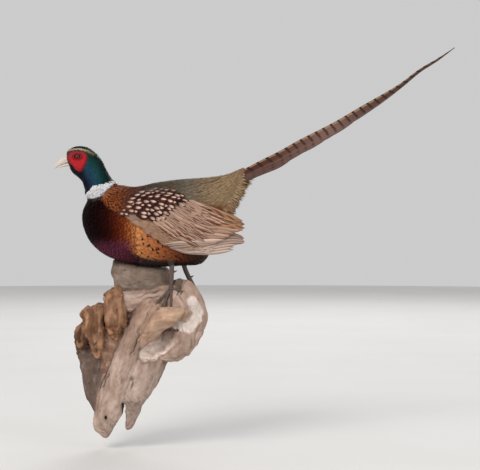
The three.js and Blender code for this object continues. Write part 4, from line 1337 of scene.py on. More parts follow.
def build_tail(side, name):
    """Nine feathers of one side joined: the long middle one over eight that step down."""
    shapes = [tail_vane(side, *pair, len(SIDE_PAIRS) - i) for i, pair in enumerate(SIDE_PAIRS)]
    shapes.append(tail_vane(side, RIDGE[-1, 0], None, None, 0))
    rings = []
    for i, (ring, vane) in enumerate(shapes):
        across = (i + 0.06 + 0.88 * (vane[..., :1] + 1) / 2) / len(shapes)
        rings.append(np.concatenate([ring, vane, 0.01 + 0.98 * vane[..., 1:2], across], -1))
    points, faces = tubes(rings)
    marks = {"vane": points[:, 3:6], "tone": stops(points[:, 4], *TAIL_TONES)}
    thing = mesh_from(f"tail_feathers_{name}", points[:, :3], faces, points[:, 6:], marks, tail_finish)
    thing.data.set_sharp_from_angle(angle=SHARP)
    hand_in(thing, "tail", f"tail_middle_{name}", f"tail_side_{name}")


def tail_plumage():
    """Olive upper edge with black ticks, chestnut middle with brown bars, grey lower edge."""
    f = Finish("barred tail plumage", Roughness=0.55, Specular_IOR_Level=0.12)
    u, v, phase = f.parts(f.mark("vane"))
    fine = f.noise(f.place(), 260.0, 3.0)
    olive = f.step(u, 0.42, 0.6)
    grey = 1.0 - f.step(u, -0.9, -0.45)
    colour = f.mix(olive * 0.85, f.mark("tone", "Color"), rgb(146, 118, 90))
    colour = f.mix(grey * 0.5, colour, rgb(104, 84, 78))
    slant = phase + u * 0.3 + fine * 0.16
    beat = f.maths("COSINE", slant * 6.28318)
    tick = f.step(beat, 0.5, 0.8) * olive
    bar = f.step(beat, 0.3, 0.85) * (1.0 - olive) * (1.0 - grey * 0.75)
    colour = f.mix(bar * 0.75, colour, rgb(38, 16, 12))
    colour = f.mix(tick * 0.95, colour, rgb(14, 10, 8))
    lines = f.maths("SINE", v * 2600.0 + u * 40.0)
    colour = f.shade(colour, 0.93 + lines * 0.05 + (fine - 0.5) * 0.3)
    f.bump(lines, 0.0001, 0.5)
    return f.coloured(colour)


tail_finish = tail_plumage()
for side, name in SIDES:
    build_tail(side, name)

# ---- head details

BILL_UPPER = [
    (-148, 321, -143, 306, 6.6), (-156, 318.5, -152, 305.4, 6.2), (-161, 317, -159, 303.4, 5.2),
    (-166, 313.6, -165, 301, 4.3), (-171.6, 307.6, -170.4, 298.4, 3.1), (-176, 300.4, -175, 295.4, 1.9),
    (-178.6, 294.6, -177.6, 293.4, 0.7),
]
BILL_LOWER = [
    (-143, 305.4, -143, 299.6, 5.8), (-152, 304.8, -151, 299.6, 5.2), (-159, 302.8, -158, 298.6, 4.1),
    (-165, 300.4, -165, 297.2, 2.9), (-170.4, 297.8, -170.8, 295.8, 1.5),
]
# Middle (x, z) of the soft flap and of the slit under it, and the slit's slope.
NOSTRIL = {"flap": (-154.5, 313.2), "slit": (-155.5, 310.46), "slope": 0.12}


def bill_rings(table, rows=44, cols=40, nostril=False):
    """Egg-shaped sections of one half of the bill. Over the upper half a soft flap swells
    above each nostril slit: a round bump less a narrow trough under it."""
    t = np.linspace(0, len(table) - 1, rows)
    row = spline(table, t)
    a = np.linspace(0, 2 * np.pi, cols, endpoint=False)
    down = ((1 - np.cos(a)) / 2)[None, :, None]
    xz = row[:, None, 0:2] * (1 - down) + row[:, None, 2:4] * down
    out = row[:, None, 4] * np.sign(np.sin(a)) * np.abs(np.sin(a)) ** 0.85
    x, z = xz[..., 0], xz[..., 1]
    if nostril:
        (flap_x, flap_z), (slit_x, slit_z) = NOSTRIL["flap"], NOSTRIL["slit"]
        flap = np.exp(-(((x - flap_x) / 4.2) ** 2) - ((z - flap_z) / 2.3) ** 2)
        slope = NOSTRIL["slope"] * (x - slit_x)
        slit = np.exp(-(((x - slit_x) / 3.4) ** 2) - ((z - slit_z + slope) / 0.7) ** 2)
        out = out + np.sign(out) * (0.9 * flap - 1.5 * slit)
    return outward(x, z, out)


def horn(name, light, dark, rough=0.35):
    """Horn: pale, with soft streaks and a little wear."""
    f = Finish(name, Roughness=rough, Coat_Weight=0.25, Coat_Roughness=0.25)
    fine = f.noise(f.place(), 320.0, 4.0)
    broad = f.noise(f.place(), 60.0, 2.0)
    f.bump(fine, 0.00015, 0.5)
    return f.coloured(f.mix(fine * 0.35 + broad * 0.3, rgb(*light), rgb(*dark)))


bill_finish = horn("horn of the bill", (214, 204, 192), (168, 148, 134))
upper = mesh_from("bill_top", *tubes([bill_rings(BILL_UPPER, nostril=True)]), finish=bill_finish)
lower = mesh_from("bill_bottom", *tubes([bill_rings(BILL_LOWER, 30, 30)]), finish=bill_finish)
hand_in(upper, "bill", "bill_upper")
hand_in(lower, "bill", "bill_lower")


def wattle_relief(rho, x, z):
    """Height over the head's loft, and the painted shade of the folds and of the edge of the eye
    opening, at the part rho from the middle to the rim: a cushion that sinks at the rim, a lid
    ridge with a fold round the eye opening, a crease below it, and pimples."""
    dx, dz = (x - EYE["x"]) / 1.3, (z - EYE["z"]) / 0.8
    d = np.hypot(dx, dz)
    ring = lambda at, width: np.exp(-(((d - at) / width) ** 2))
    cushion = 1.5 * (1 - rho**6) - 0.9 * rho**10
    lid = 1.3 * ring(5.3, 0.8) - 0.9 * ring(7.0, 0.6)
    crease = 0.9 * ring(9.0, 0.7) * smooth(-dz, -2, 3)
    opening = smooth(-d, -4.7, -4.0)
    pimple = 0.5 * lattice_noise(np.stack([x / 1.5, z / 1.5, 0 * x], -1), 3) * smooth(d, 6, 8)
    pimple = pimple + 0.5 * lattice_noise(np.stack([x / 4.0, z / 3.0, 0 * x], -1), 8) * smooth(d, 7, 10)
    height = (cushion + lid - crease + pimple) * (1 - opening) - 4.2 * opening
    # the second value is painted shade: darker in the fold round the lid, at the edge of the eye opening and
    # in the crease
    return height, 0.6 * ring(7.0, 1.1) + 0.7 * ring(4.3, 0.6) + 0.4 * crease


def wattle_tones(rho, x, z, dark):
    """Red, deeper above and in front, with painted shade towards the rim and in the folds; then
    the back, where rho is taken as 1 and the folds leave no painted shade."""
    both = lambda front, back: np.concatenate([front, back])
    tone = blend(rgb(164, 8, 20), rgb(122, 16, 24), smooth(both(z, z[::-1]), 310, 326))
    tone = blend(tone, rgb(112, 14, 20), smooth(-both(x, x[::-1]), 138, 150) * 0.8)
    # painted shade towards the rim, where the cushion sinks
    rim = both(smooth(rho, 0.72, 1) * np.ones_like(x), np.ones_like(x))
    tone = blend(tone, rgb(70, 4, 10), rim * 0.65)
    # painted shade in the folds and round the eye opening
    return blend(tone, rgb(56, 4, 8), np.clip(both(dark, np.zeros_like(x)), 0, 1) * 0.85)


def build_wattle(side, name):
    """Bare red skin on one cheek: a closed patch over the head's loft, worked out on the left
    and mirrored for the right."""
    theta = np.linspace(0, len(WATTLE), 221)[:-1]
    wrapped = np.vstack([WATTLE[-1], WATTLE, WATTLE[:2]]).astype(float)
    rho = np.linspace(0.02, 1, 60)[:, None]
    xz = WATTLE_MIDDLE + (spline(wrapped, theta + 1)[None] - WATTLE_MIDDLE) * rho[..., None]
    x, z = xz[..., 0], xz[..., 1]
    s, r = body.find(x.ravel(), z.ravel(), (-np.pi + 0.05, -0.05))
    p, normal, _, _ = body.frame(s, r)
    p, normal = p.reshape(*x.shape, 3), normal.reshape(*x.shape, 3)
    height, dark = wattle_relief(rho, x, z)
    front = p + normal * height[..., None]
    back = (p - normal * 2.2)[::-1]
    back[0] = front[-1] - normal[-1] * 0.6
    rings = np.concatenate([front, back])
    if side > 0:
        rings[..., 1] = 2 * MID - rings[..., 1]
    points, faces = tubes([np.concatenate([rings, wattle_tones(rho, x, z, dark)], -1)])
    marks = {"tone": points[:, 3:]}
    thing = mesh_from(f"cheek_skin_{name}", points[:, :3], faces, None, marks, wattle_finish)
    hand_in(thing, "wattle", f"wattle_{name}")


def wattle_skin():
    """Bare red skin of small cells, unevenly bright."""
    f = Finish("red wattle skin", Roughness=0.5, Specular_IOR_Level=0.25)
    grain = f.cells(f.place(), 1100.0)
    broad = f.noise(f.place(), 160.0, 3.0)
    f.bump(grain, 0.0004, 0.8)
    colour = f.shade(f.mark("tone", "Color"), 0.72 + grain * 0.35 + broad * 0.3)
    return f.coloured(colour)


def build_eye(side, name):
    """Glass eye: a ball of rings about its outward axis; the mark is the distance from it."""
    lon = np.linspace(0, 2 * np.pi, 48, endpoint=False)
    lat = np.linspace(0.03, np.pi - 0.03, 40)
    width, rise = np.sin(lat)[:, None], np.cos(lat)[:, None]
    ball = np.stack(np.broadcast_arrays(width * np.cos(lon), side * rise, width * np.sin(lon)), -1)
    centre = np.array([EYE["x"], MID + side * EYE["out"], EYE["z"]])
    points, faces = tubes([centre + ball * EYE["radius"]])
    dx, dy, dz = (points - centre).T
    far = np.hypot(dx, dz)
    mark = np.stack([np.where(side * dy < 0, 6, far), np.arctan2(dz, dx), far], -1)
    thing = mesh_from(f"glass_eye_{name}", points, faces, None, {"vane": mark}, eye_finish)
    hand_in(thing, "eye", f"eye_{name}")


def eye_glass():
    """Dark pupil and rim with a brown fibrous iris between, under a clear coat."""
    f = Finish("glass eye", Roughness=0.1, Specular_IOR_Level=0.25, Coat_Weight=0.35, Coat_Roughness=0.03)
    far = f.parts(f.mark("vane"))[0]
    fibres = f.noise(f.place(), 700.0, 4.0)
    iris = f.mix(fibres, rgb(104, 44, 18), rgb(56, 20, 10))
    colour = f.mix(f.step(far, 3.9, 4.5), iris, rgb(24, 10, 8))
    colour = f.mix(1.0 - f.step(far, 2.1, 2.4), colour, rgb(6, 5, 5))
    return f.coloured(colour)


wattle_finish, eye_finish = wattle_skin(), eye_glass()
for side, name in SIDES:
    build_wattle(side, name)
    build_eye(side, name)

# ---- legs

LEGS = {
    "left": {
        "shank": [(54, -117, 118), (53.4, -116.6, 96), (52, -114.5, 62)],
        "spur": [(55, -116, 95), (60, -116.6, 95.4), (64, -114, 97)],
        "curl": (0, 0.15, -0.1),
        "toes": {"inner": [(50, -113, 60), (41, -112, 51), (33, -112.5, 43), (26, -119, 35)],
                 "middle": [(51, -114, 60), (46, -113, 50), (42, -113, 40), (39.5, -116, 31)],
                 "outer": [(53, -115, 60), (53, -116, 49), (53, -117, 40), (52, -118.5, 31)],
                 "hind": [(54, -115, 62), (60, -118.5, 62), (66, -121, 60)]},
    },
    "right": {
        "shank": [(73, -65, 118), (78, -64, 96), (96, -54, 58)],
        "spur": [(85, -60, 82), (90, -60.6, 83.4), (94, -61, 86)],
        "curl": (0, 0, -0.3),
        "toes": {"inner": [(95, -56, 58.5), (86, -56, 61), (76, -57, 62.5), (66, -58, 63)],
                 "middle": [(95, -54, 58.5), (86, -46, 61), (76, -39, 62.5), (67, -32, 63)],
                 "outer": [(97, -52, 58), (92, -42, 59.5), (87, -33, 60.5), (82, -24, 60.5)],
                 "hind": [(98, -56, 57.5), (102, -60, 53.5), (105, -64, 49)]},
    },
}
SHANK_RADIUS = 4.6
TOE_RADIUS = {"inner": 3.3, "middle": 3.6, "outer": 3.2, "hind": 2.8}
CLAW = 10.0


def scaled_pipe(path, start, end, scute, sides=20):
    """A leg or toe: a round pipe whose radius rises in small steps, one for each scute."""
    length = np.linalg.norm(np.diff(np.array(path, float), axis=0), axis=1).sum()
    rows = int(length / scute * 5)
    rings = pipe(path, (start, end), sides, rows)
    step = (np.arange(rows) / 5.0) % 1
    swell = 1 + 0.05 * (smooth(step, 0, 0.3) - smooth(step, 0.75, 1.0))
    middle = rings.mean(axis=1, keepdims=True)
    return middle + (rings - middle) * swell[:, None, None]


def build_leg(name):
    """Shank, ball of the foot and four toes in one mesh; claws and spur in another."""
    leg = LEGS[name]
    heel = leg["shank"][-1]
    parts = [scaled_pipe(leg["shank"], SHANK_RADIUS, SHANK_RADIUS * 0.96, 3.4)]
    knob = [(heel[0], heel[1], heel[2] + 4.5), heel, (heel[0], heel[1], heel[2] - 4.2)]
    parts.append(pipe(knob, (1.4, 4.8, 5.3, 4.6, 1.2), 20, 16))
    claws = [pipe(leg["spur"], (2.7, 2.2, 1.3, 0.4), 14, 14)]
    for toe, path in leg["toes"].items():
        radius = TOE_RADIUS[toe]
        parts.append(scaled_pipe(path, radius, radius * 0.74, 2.4, 16))
        before, end = np.array(path[-2], float), np.array(path[-1], float)
        along, curl = unit(end - before), np.array(leg["curl"]) * CLAW
        hook = [end + along * (CLAW * part - 1) + curl * part**2 for part in (0, 0.35, 0.7, 1.0)]
        claws.append(pipe(hook, (radius * 0.66, radius * 0.6, radius * 0.4, 0.25), 12, 14))
    legs = mesh_from(f"scaled_leg_{name}", *tubes(parts), finish=leg_finish)
    hand_in(legs, "leg", f"shank_{name}", f"foot_{name}")
    nodes = [f"claw_{name}_{toe}" for toe in leg["toes"]]
    horns = mesh_from(f"claws_{name}", *tubes(claws), finish=claw_finish)
    hand_in(horns, "claw", f"spur_{name}", *nodes)


def leg_scales():
    """Grey-brown scaly skin: cells with darker seams between them."""
    f = Finish("scaly leg skin", Roughness=0.5, Coat_Weight=0.1)
    seam = f.cells(f.place(), 620.0, "DISTANCE_TO_EDGE")
    tint = f.noise(f.place(), 140.0, 3.0)
    raised = f.step(seam, 0.0, 0.22)
    f.bump(raised, 0.0003, 0.8)
    colour = f.mix(tint, rgb(112, 88, 78), rgb(76, 60, 54))
    return f.coloured(f.shade(colour, 0.6 + raised * 0.4))


leg_finish = leg_scales()
claw_finish = horn("horn of the claws", (92, 78, 68), (48, 38, 34), 0.4)
for name in ("left", "right"):
    build_leg(name)

# ---- driftwood

# Outline (x, z) of the sawn back.
BACK_OUTLINE = [
    (-56, 111), (-64, 101), (-60, 84.5), (-59, 70.5), (-82.5, 42), (-78.5, 28.5), (-96.5, 28.5),
    (-113, 23.5), (-125, 9.5), (-124, -9), (-137.5, -31.5), (-137.5, -49.5), (-140.5, -61), (-133.5, -84),
    (-129.5, -112.5), (-125, -141), (-117, -163.5), (-105, -177.5), (-101, -192), (-64, -202),
    (-49, -182), (-23.5, -182), (-5, -165.5), (7, -146), (18, -136), (26.5, -120), (33.5, -102.5),
    (40.5, -85), (68, -80), (84.5, -67), (97.5, -50.5), (106.5, -31.5), (113, -11), (111, 9.5),
    (106.5, 32), (98.5, 47), (88.5, 54), (72, 57), (54, 58), (41.5, 64.5), (40.5, 99), (7, 105),
    (-23.5, 111),
]
BACK_THICKNESS = 46.0
# Limbs over the back: squareness, where the limb starts out from the wall, its colour, and its
# sections, each with two edges (x, z) and how far it stands out.
LIMBS = {
    "block": (0.45, 6, (134, 117, 104), [
        (-68, 97, -68, 90.5, 84), (-64, 107, -62, 78.5, 92), (-58, 118, -54, 56, 98),
        (-23.5, 111, -19.5, 54, 104), (17, 105, 17, 56, 100), (37.5, 101, 37.5, 58, 92),
        (42.5, 97, 43.5, 62.5, 84)]),
    "ledge": (0.7, 6, (184, 158, 144), [
        (-85.5, 44, -82.5, 34, 70), (-70.5, 58, -64, 13.5, 96), (-33.5, 62.5, -33.5, 7.5, 106),
        (7, 64.5, 7, 7.5, 108), (41.5, 68.5, 43.5, 17.5, 112), (56, 72.5, 62, 27.5, 108)]),
    "upper knot": (0.5, 6, (150, 106, 78), [
        (-68, 57, -43, 58, 106), (-74.5, 44, -40, 46, 122), (-74.5, 17.5, -36.5, 17.5, 128),
        (-76.5, -5, -33.5, -3, 124), (-70, -26, -38, -22, 112)]),
    "lower knot": (0.55, 6, (142, 100, 74), [
        (-115, 22, -78, 26, 98), (-124, 11.5, -76.5, 19.5, 112), (-120, -9, -78.5, -1, 116),
        (-114, -31.5, -78.5, -25, 112), (-106, -53.5, -82, -49.5, 102), (-98, -74, -88, -74, 88)]),
    "left lobe": (0.8, 6, (98, 64, 46), [
        (-131.5, -11, -115, -7, 70), (-138.5, -27, -111, -25, 92), (-138.5, -47.5, -115, -45.5, 84),
        (-135.5, -60, -121, -57.5, 64)]),
    "diagonal": (0.75, 6, (178, 147, 129), [
        (11, 44, 33.5, 40, 108), (-7, 32, 41.5, 29.5, 124), (-29.5, 1.5, 30, 3.5, 130),
        (-48, -37.5, 0, -33.5, 122), (-66, -80, -15, -74, 110), (-84.5, -121, -28, -116.5, 98),
        (-97.5, -159.5, -42, -159.5, 82), (-104, -190, -48, -186, 72), (-107, -216.5, -64, -214.5, 60),
        (-94.5, -232.5, -75.5, -232.5, 48), (-88.5, -240, -81.5, -240, 34)]),
    "branch": (0.85, 6, (196, 161, 136), [
        (86.5, 25.5, 87.5, 13.5, 116), (78, 28.5, 80, 5.5, 130), (54, 29.5, 56, -11, 138),
        (24, 28, 29.5, -27, 134), (-7, 10, 5, -45.5, 126), (-27.5, -22, -15.5, -66, 112)]),
    "seat": (0.5, 6, (132, 110, 98), [
        (37.5, 60, 37.5, -23, 80), (58, 60, 58, -43.5, 84), (82.5, 59, 82.5, -53.5, 86),
        (98.5, 52, 98.5, -39.5, 84), (111, 27.5, 108.5, -25, 78)]),
    "burl": (0.75, 78, (180, 152, 136), [
        (45.5, 68.5, 41.5, 9.5, 106), (56, 77.5, 52, -13, 118), (72, 80, 68, -43.5, 124),
        (86.5, 77, 82.5, -70, 122), (102.5, 62.5, 96.5, -55.5, 116), (115, 36, 111, -31.5, 106),
        (122.5, 11.5, 120, -9, 92)]),
    "apron": (0.8, 6, (204, 180, 165), [
        (-22, -30, -22, -78, 86), (21.5, -24, 21.5, -82, 96), (41.5, -14, 41.5, -84, 104),
        (62, -6, 64, -82, 112), (82, -8, 85, -68, 117), (102, -14, 102, -46, 112)]),
    "core": (0.6, 6, (150, 116, 96), [
        (-104, -8, -104, -58, 76), (-86, 20, -86, -84, 86), (-60, 40, -66, -112, 92),
        (-34, 44, -44, -120, 94), (0, 44, -16, -110, 92), (30, 42, 26, -70, 88), (46, 38, 46, -40, 80)]),
    "left panel": (0.7, 6, (114, 95, 86), [
        (-136.5, -52, -96.5, -50, 60), (-134.5, -66, -84.5, -64, 66), (-131.5, -88, -78.5, -88, 66),
        (-127, -129, -82.5, -129, 62), (-117, -161.5, -88.5, -163.5, 58), (-106, -182, -94.5, -184, 52)]),
    "lower panel": (0.7, 6, (176, 153, 140), [
        (-40, -72, 39.5, -80, 92), (-52, -104.5, 31.5, -104.5, 92), (-58, -139, 13, -141, 84),
        (-56, -163.5, -6, -167.5, 74), (-42, -192, -15.5, -188, 58), (-44, -214.5, -25.5, -212.5, 48),
        (-43, -222.5, -33.5, -223.5, 34)]),
}
# The pale hollow's middle, three radii and tilt in radians; then as (x, z) the slit, the
# drilled hole and its radius, the split lines, and the line of the white patch.
HOLLOW = {"at": (27, -120, -48), "radii": (45, 42, 22), "tilt": 0.66}
SLIT = [(-49, -163.5), (-42.5, -171.5), (-42, -202), (-45, -228.5), (-58, -228.5), (-50, -206), (-48.5, -186)]
PRONG_HOLE = (-78.5, -193.0, 3.4)
WAVY_CRACKS = [
    [(-20, 42), (-6, 46), (6, 53), (18, 55), (30, 60), (42, 61)], [(-6, 38), (8, 44), (22, 46), (36, 51)],
    [(-92, -141), (-80, -128), (-74, -112), (-62, -96)], [(-30, -106), (-24, -124), (-28, -142)],
    [(6, -12), (-12, -34), (-20, -58), (-34, -84)],
]
WHITE_PATCH_LINE = [(94, 36), (105, 18), (101, 2), (86, -15), (66, -10)]
WOOD_VOXEL = 1.9
# Limbs whose grain runs round a middle (x, z), and the way of the grain on the sawn back.
ROUND_GRAIN, ROUND_GRAIN_MIDDLE = ("burl", "seat", "apron"), (64, -4)
BACK_GRAIN = np.array([0.25, -0.97])
# Heights, and how far the floor of the folds and the banks of the diagonal limb stand out there.
FLOOR_PROFILE = ([-200, -165, -140, -105, -75, -40, 0], [50, 70, 80, 88, 93, 97, 98])
BANK_PROFILE = ([-215, -190, -165, -120, -80, -40, 0, 20], [0, 44, 62, 80, 88, 94, 98, 60])


def limb_rings(square, start, rows):
    """Sections between two edge points: round with square = 1, boxy as it falls."""
    t = np.linspace(0, len(rows) - 1, (len(rows) - 1) * 9 + 1)
    row = spline(rows, t)
    a = np.linspace(0, 2 * np.pi, 40, endpoint=False)
    bow = lambda value: np.sign(value) * np.abs(value) ** square
    down, across = ((1 - bow(np.cos(a))) / 2)[:, None], (1 + bow(np.sin(a))) / 2
    xz = row[:, None, 0:2] * (1 - down) + row[:, None, 2:4] * down
    y = -row[:, None, 4] + (row[:, None, 4] - start) * across
    return np.stack([xz[..., 0], y, xz[..., 1]], -1)


def prism(outline, near, far):
    ring = np.array(outline, float)
    return np.stack([np.insert(ring, 1, y, axis=1) for y in (near, far)])


def limb_axis(rows):
    """Middle line (x, z) of a limb."""
    rows = np.array(rows, float)
    return (rows[:, 0:2] + rows[:, 2:4]) / 2


def limb_fields(points):
    """For each point and each limb: the section's own measure (1 on its surface), and the
    way the limb runs there."""
    x, y, z = points.T
    measures, ways = [], []
    for name, (square, start, _, rows) in LIMBS.items():
        middle, rows = limb_axis(rows), np.array(rows, float)
        far, along = near_path(x, z, middle)
        station = np.arange(len(rows))
        half = np.interp(along, station, np.linalg.norm(rows[:, 0:2] - rows[:, 2:4], axis=1) / 2)
        out = np.interp(along, station, rows[:, 4])
        deep = np.abs(-y - (out + start) / 2) / ((out - start) / 2)
        e = (far / np.maximum(half, 3)) ** (2 / square) + deep ** (2 / square)
        measures.append(e ** (square / 2))
        d = np.gradient(middle, axis=0)
        way = np.stack([np.interp(along, station, d[:, k]) for k in (0, 1)], -1)
        if name in ROUND_GRAIN:
            way = np.stack([-(z - ROUND_GRAIN_MIDDLE[1]), x - ROUND_GRAIN_MIDDLE[0]], -1)
        ways.append(way)
    return np.array(measures), unit(np.array(ways))


def ridged(p, seed):
    """Noise folded about zero, so that it makes sharp crests: from -1 to 1."""
    return 1 - 3.2 * np.abs(lattice_noise(p, seed))


def wood_source():
    """Limbs and back joined by voxels and softened, slit and pierced."""
    limbs = [prism(BACK_OUTLINE, -0.4, -BACK_THICKNESS)]
    limbs += [limb_rings(square, start, rows) for square, start, _, rows in LIMBS.values()]
    a = np.linspace(0, 2 * np.pi, 18, endpoint=False)
    hole_x, hole_z, radius = PRONG_HOLE
    bore = np.stack([hole_x + radius * np.cos(a), hole_z + radius * 1.5 * np.sin(a)], -1)
    cutter = mesh_from("wood cutter", *tubes([prism(SLIT, 4, -130), prism(bore, 5, -131)]))
    return voxel_union("wood source", *tubes(limbs), WOOD_VOXEL, cutter, soften=9)


def wood_fields(points, faces):
    """What shape and colour are worked out from, at each point: whose limb it is on, how near a
    crease between two limbs, its place in the hollow, and noises drawn out along the grain."""
    w = SimpleNamespace(normal=normals_of(points, faces))
    w.measures, ways = limb_fields(points)
    w.order = np.sort(w.measures, axis=0)
    own = w.measures.argmin(0)
    w.on = lambda *names: np.isin(own, [list(LIMBS).index(name) for name in names])
    w.crease = np.exp(-(((w.order[1] - w.order[0]) / 0.07) ** 2)) * smooth(w.order[0], 0.8, 0.95)
    w.is_back = w.order[0] > 1.25
    w.x, y, w.z = points.T.copy()
    c, s = np.cos(HOLLOW["tilt"]), np.sin(HOLLOW["tilt"])
    hx, hz = w.x - HOLLOW["at"][0], w.z - HOLLOW["at"][2]
    w.ex, w.ez = (hx * c + hz * s) / HOLLOW["radii"][0], (hz * c - hx * s) / HOLLOW["radii"][2]
    uneven = 0.42 * lattice_noise(points / 14, 18) + 0.12 * lattice_noise(points / 6, 19)
    w.bowl = np.maximum(w.ex**2 + w.ez**2 + uneven, 0)
    w.over = w.on("branch", "diagonal")
    way = np.where(w.is_back[:, None], BACK_GRAIN, ways[own, np.arange(len(points))])
    way = np.where(((w.bowl < 1.3) & ~w.over)[:, None], np.array([c, s]), way)
    warp = 5 * lattice_noise(points / 26, 21) + 2 * lattice_noise(points / 11, 22)
    across, along = w.x * way[:, 1] - w.z * way[:, 0] + warp, w.x * way[:, 0] + w.z * way[:, 1]
    plain = w.on("block", "burl", "left panel")
    w.grain = np.stack([across, 0.7 * y, along / np.where(plain, 4, 8)], -1) + own[:, None] * 7.3
    w.coarse, w.medium = ridged(w.grain / 11, 1), ridged(w.grain / 5, 2)
    w.broad = lattice_noise(points / 19, 4) + 0.5 * lattice_noise(points / 8, 6)
    w.rough = w.on("upper knot", "lower knot", "left lobe")
    w.crack = (smooth(-np.abs(lattice_noise(w.grain / 12, 3)), -0.06, -0.02)
               * smooth(lattice_noise(points / 20, 5), 0.16, 0.4))
    w.strength = 1 - 0.55 * plain - 0.25 * w.on("diagonal", "branch", "lower panel")
    w.torn = w.on("lower panel") * smooth(-w.z - 6 * lattice_noise(points / 6, 14), 160, 166)
    axis = limb_axis(LIMBS["diagonal"][3])
    w.leftward = np.interp(-w.z, -axis[:, 1], axis[:, 0]) - w.x
    w.front = smooth(-y, 2, 12)
    return w


def wood_wear(points, w):
    """How far each point rises along its normal: crests along the grain, broad swellings,
    cracks, creases, lumps on the knots; less on the wall side and under the feet."""
    feet = np.minimum(np.hypot(w.x - 45, w.z - 45) + 2 * np.maximum(-points[:, 1] - 200, 0),
                      np.hypot(w.x - 86, points[:, 1] + 50) + 3 * np.maximum(40 - w.z, 0))
    facing = -w.normal[:, 1]
    lumps = 1.2 * lattice_noise(points / 5, 7) + 2.4 * lattice_noise(points / 15, 8) + 2.2 * w.coarse
    ragged = w.on("left panel") * smooth(w.z, -86, -66)
    depth = w.strength * (w.coarse + 0.5 * w.medium - 2.2 * w.crack) + 1.3 * w.broad - 0.8 * w.crease
    depth = depth + w.rough * lumps
    depth = depth + 3.5 * w.on("branch") - 4.0 * w.torn * smooth(facing, 0.4, 0.8)
    depth = depth + 5.0 * ragged * lattice_noise(points / 7, 15)
    return depth * w.front * (0.2 + 0.8 * smooth(feet, 14, 26))


def fill_folds(points, w):
    """Fills the folds: the floor between the limbs comes forward, and so do the banks beside
    the diagonal limb, to a profile over height."""
    normal_y = w.normal[:, 1]
    inner = w.on("apron", "core", "lower panel") & (w.x > -70) & (normal_y < -0.2)
    fill = np.interp(w.z, *FLOOR_PROFILE) + points[:, 1]
    points[:, 1] -= inner * smooth(-normal_y, 0.2, 0.6) * np.maximum(fill, 0)
    bank = np.interp(w.z, *BANK_PROFILE) - 34 * smooth(w.leftward, 26, 62) - 3 * w.broad
    beside = w.on("left panel", "core", "diagonal") & (normal_y < 0.45) & (w.leftward > 8)
    beside &= (w.z < 10) & (w.z > -205) & (w.leftward < 58) & (points[:, 1] < -20)
    points[:, 1] = np.where(beside, np.minimum(points[:, 1], -bank), points[:, 1])


def press_in(points, w):
    """Presses in the hollow, a dimple round the prong's hole, and the split lines."""
    normal_y = w.normal[:, 1]
    bowl_depth = HOLLOW["radii"][1] * np.sqrt(np.clip(1 - w.bowl, 0, 1))
    floor_y = HOLLOW["at"][1] + bowl_depth - 0.8 * w.medium - 0.5 * w.coarse
    pressed = (w.bowl < 1) & ~w.over & (normal_y < 0.3) & (w.y < -60)
    pressed &= (points[:, 1] < floor_y) | (w.bowl < 0.7)
    points[pressed, 1] = floor_y[pressed]
    far = np.hypot(w.x - PRONG_HOLE[0], (w.z - PRONG_HOLE[1]) / 1.6)
    w.dimple = np.exp(-((far / 6.5) ** 2)) * smooth(-w.y, 30, 40)
    points[:, 1] += 3.0 * w.dimple
    w.split = np.zeros(len(points))
    for path in WAVY_CRACKS:
        wave = [2.2 * lattice_noise(points / 9, seed) for seed in (16, 17)]
        near, part = near_path(w.x + wave[0], w.z + wave[1], path)
        taper = np.sin(np.pi * np.clip(part / (len(path) - 1), 0.02, 0.98))
        w.split = np.maximum(w.split, smooth(-near, -1.9, -0.3) * taper * smooth(-normal_y, 0.1, 0.4))
    points[:, 1] += 2.6 * w.split * w.front
    points[:, 1] = np.minimum(points[:, 1], -0.05)


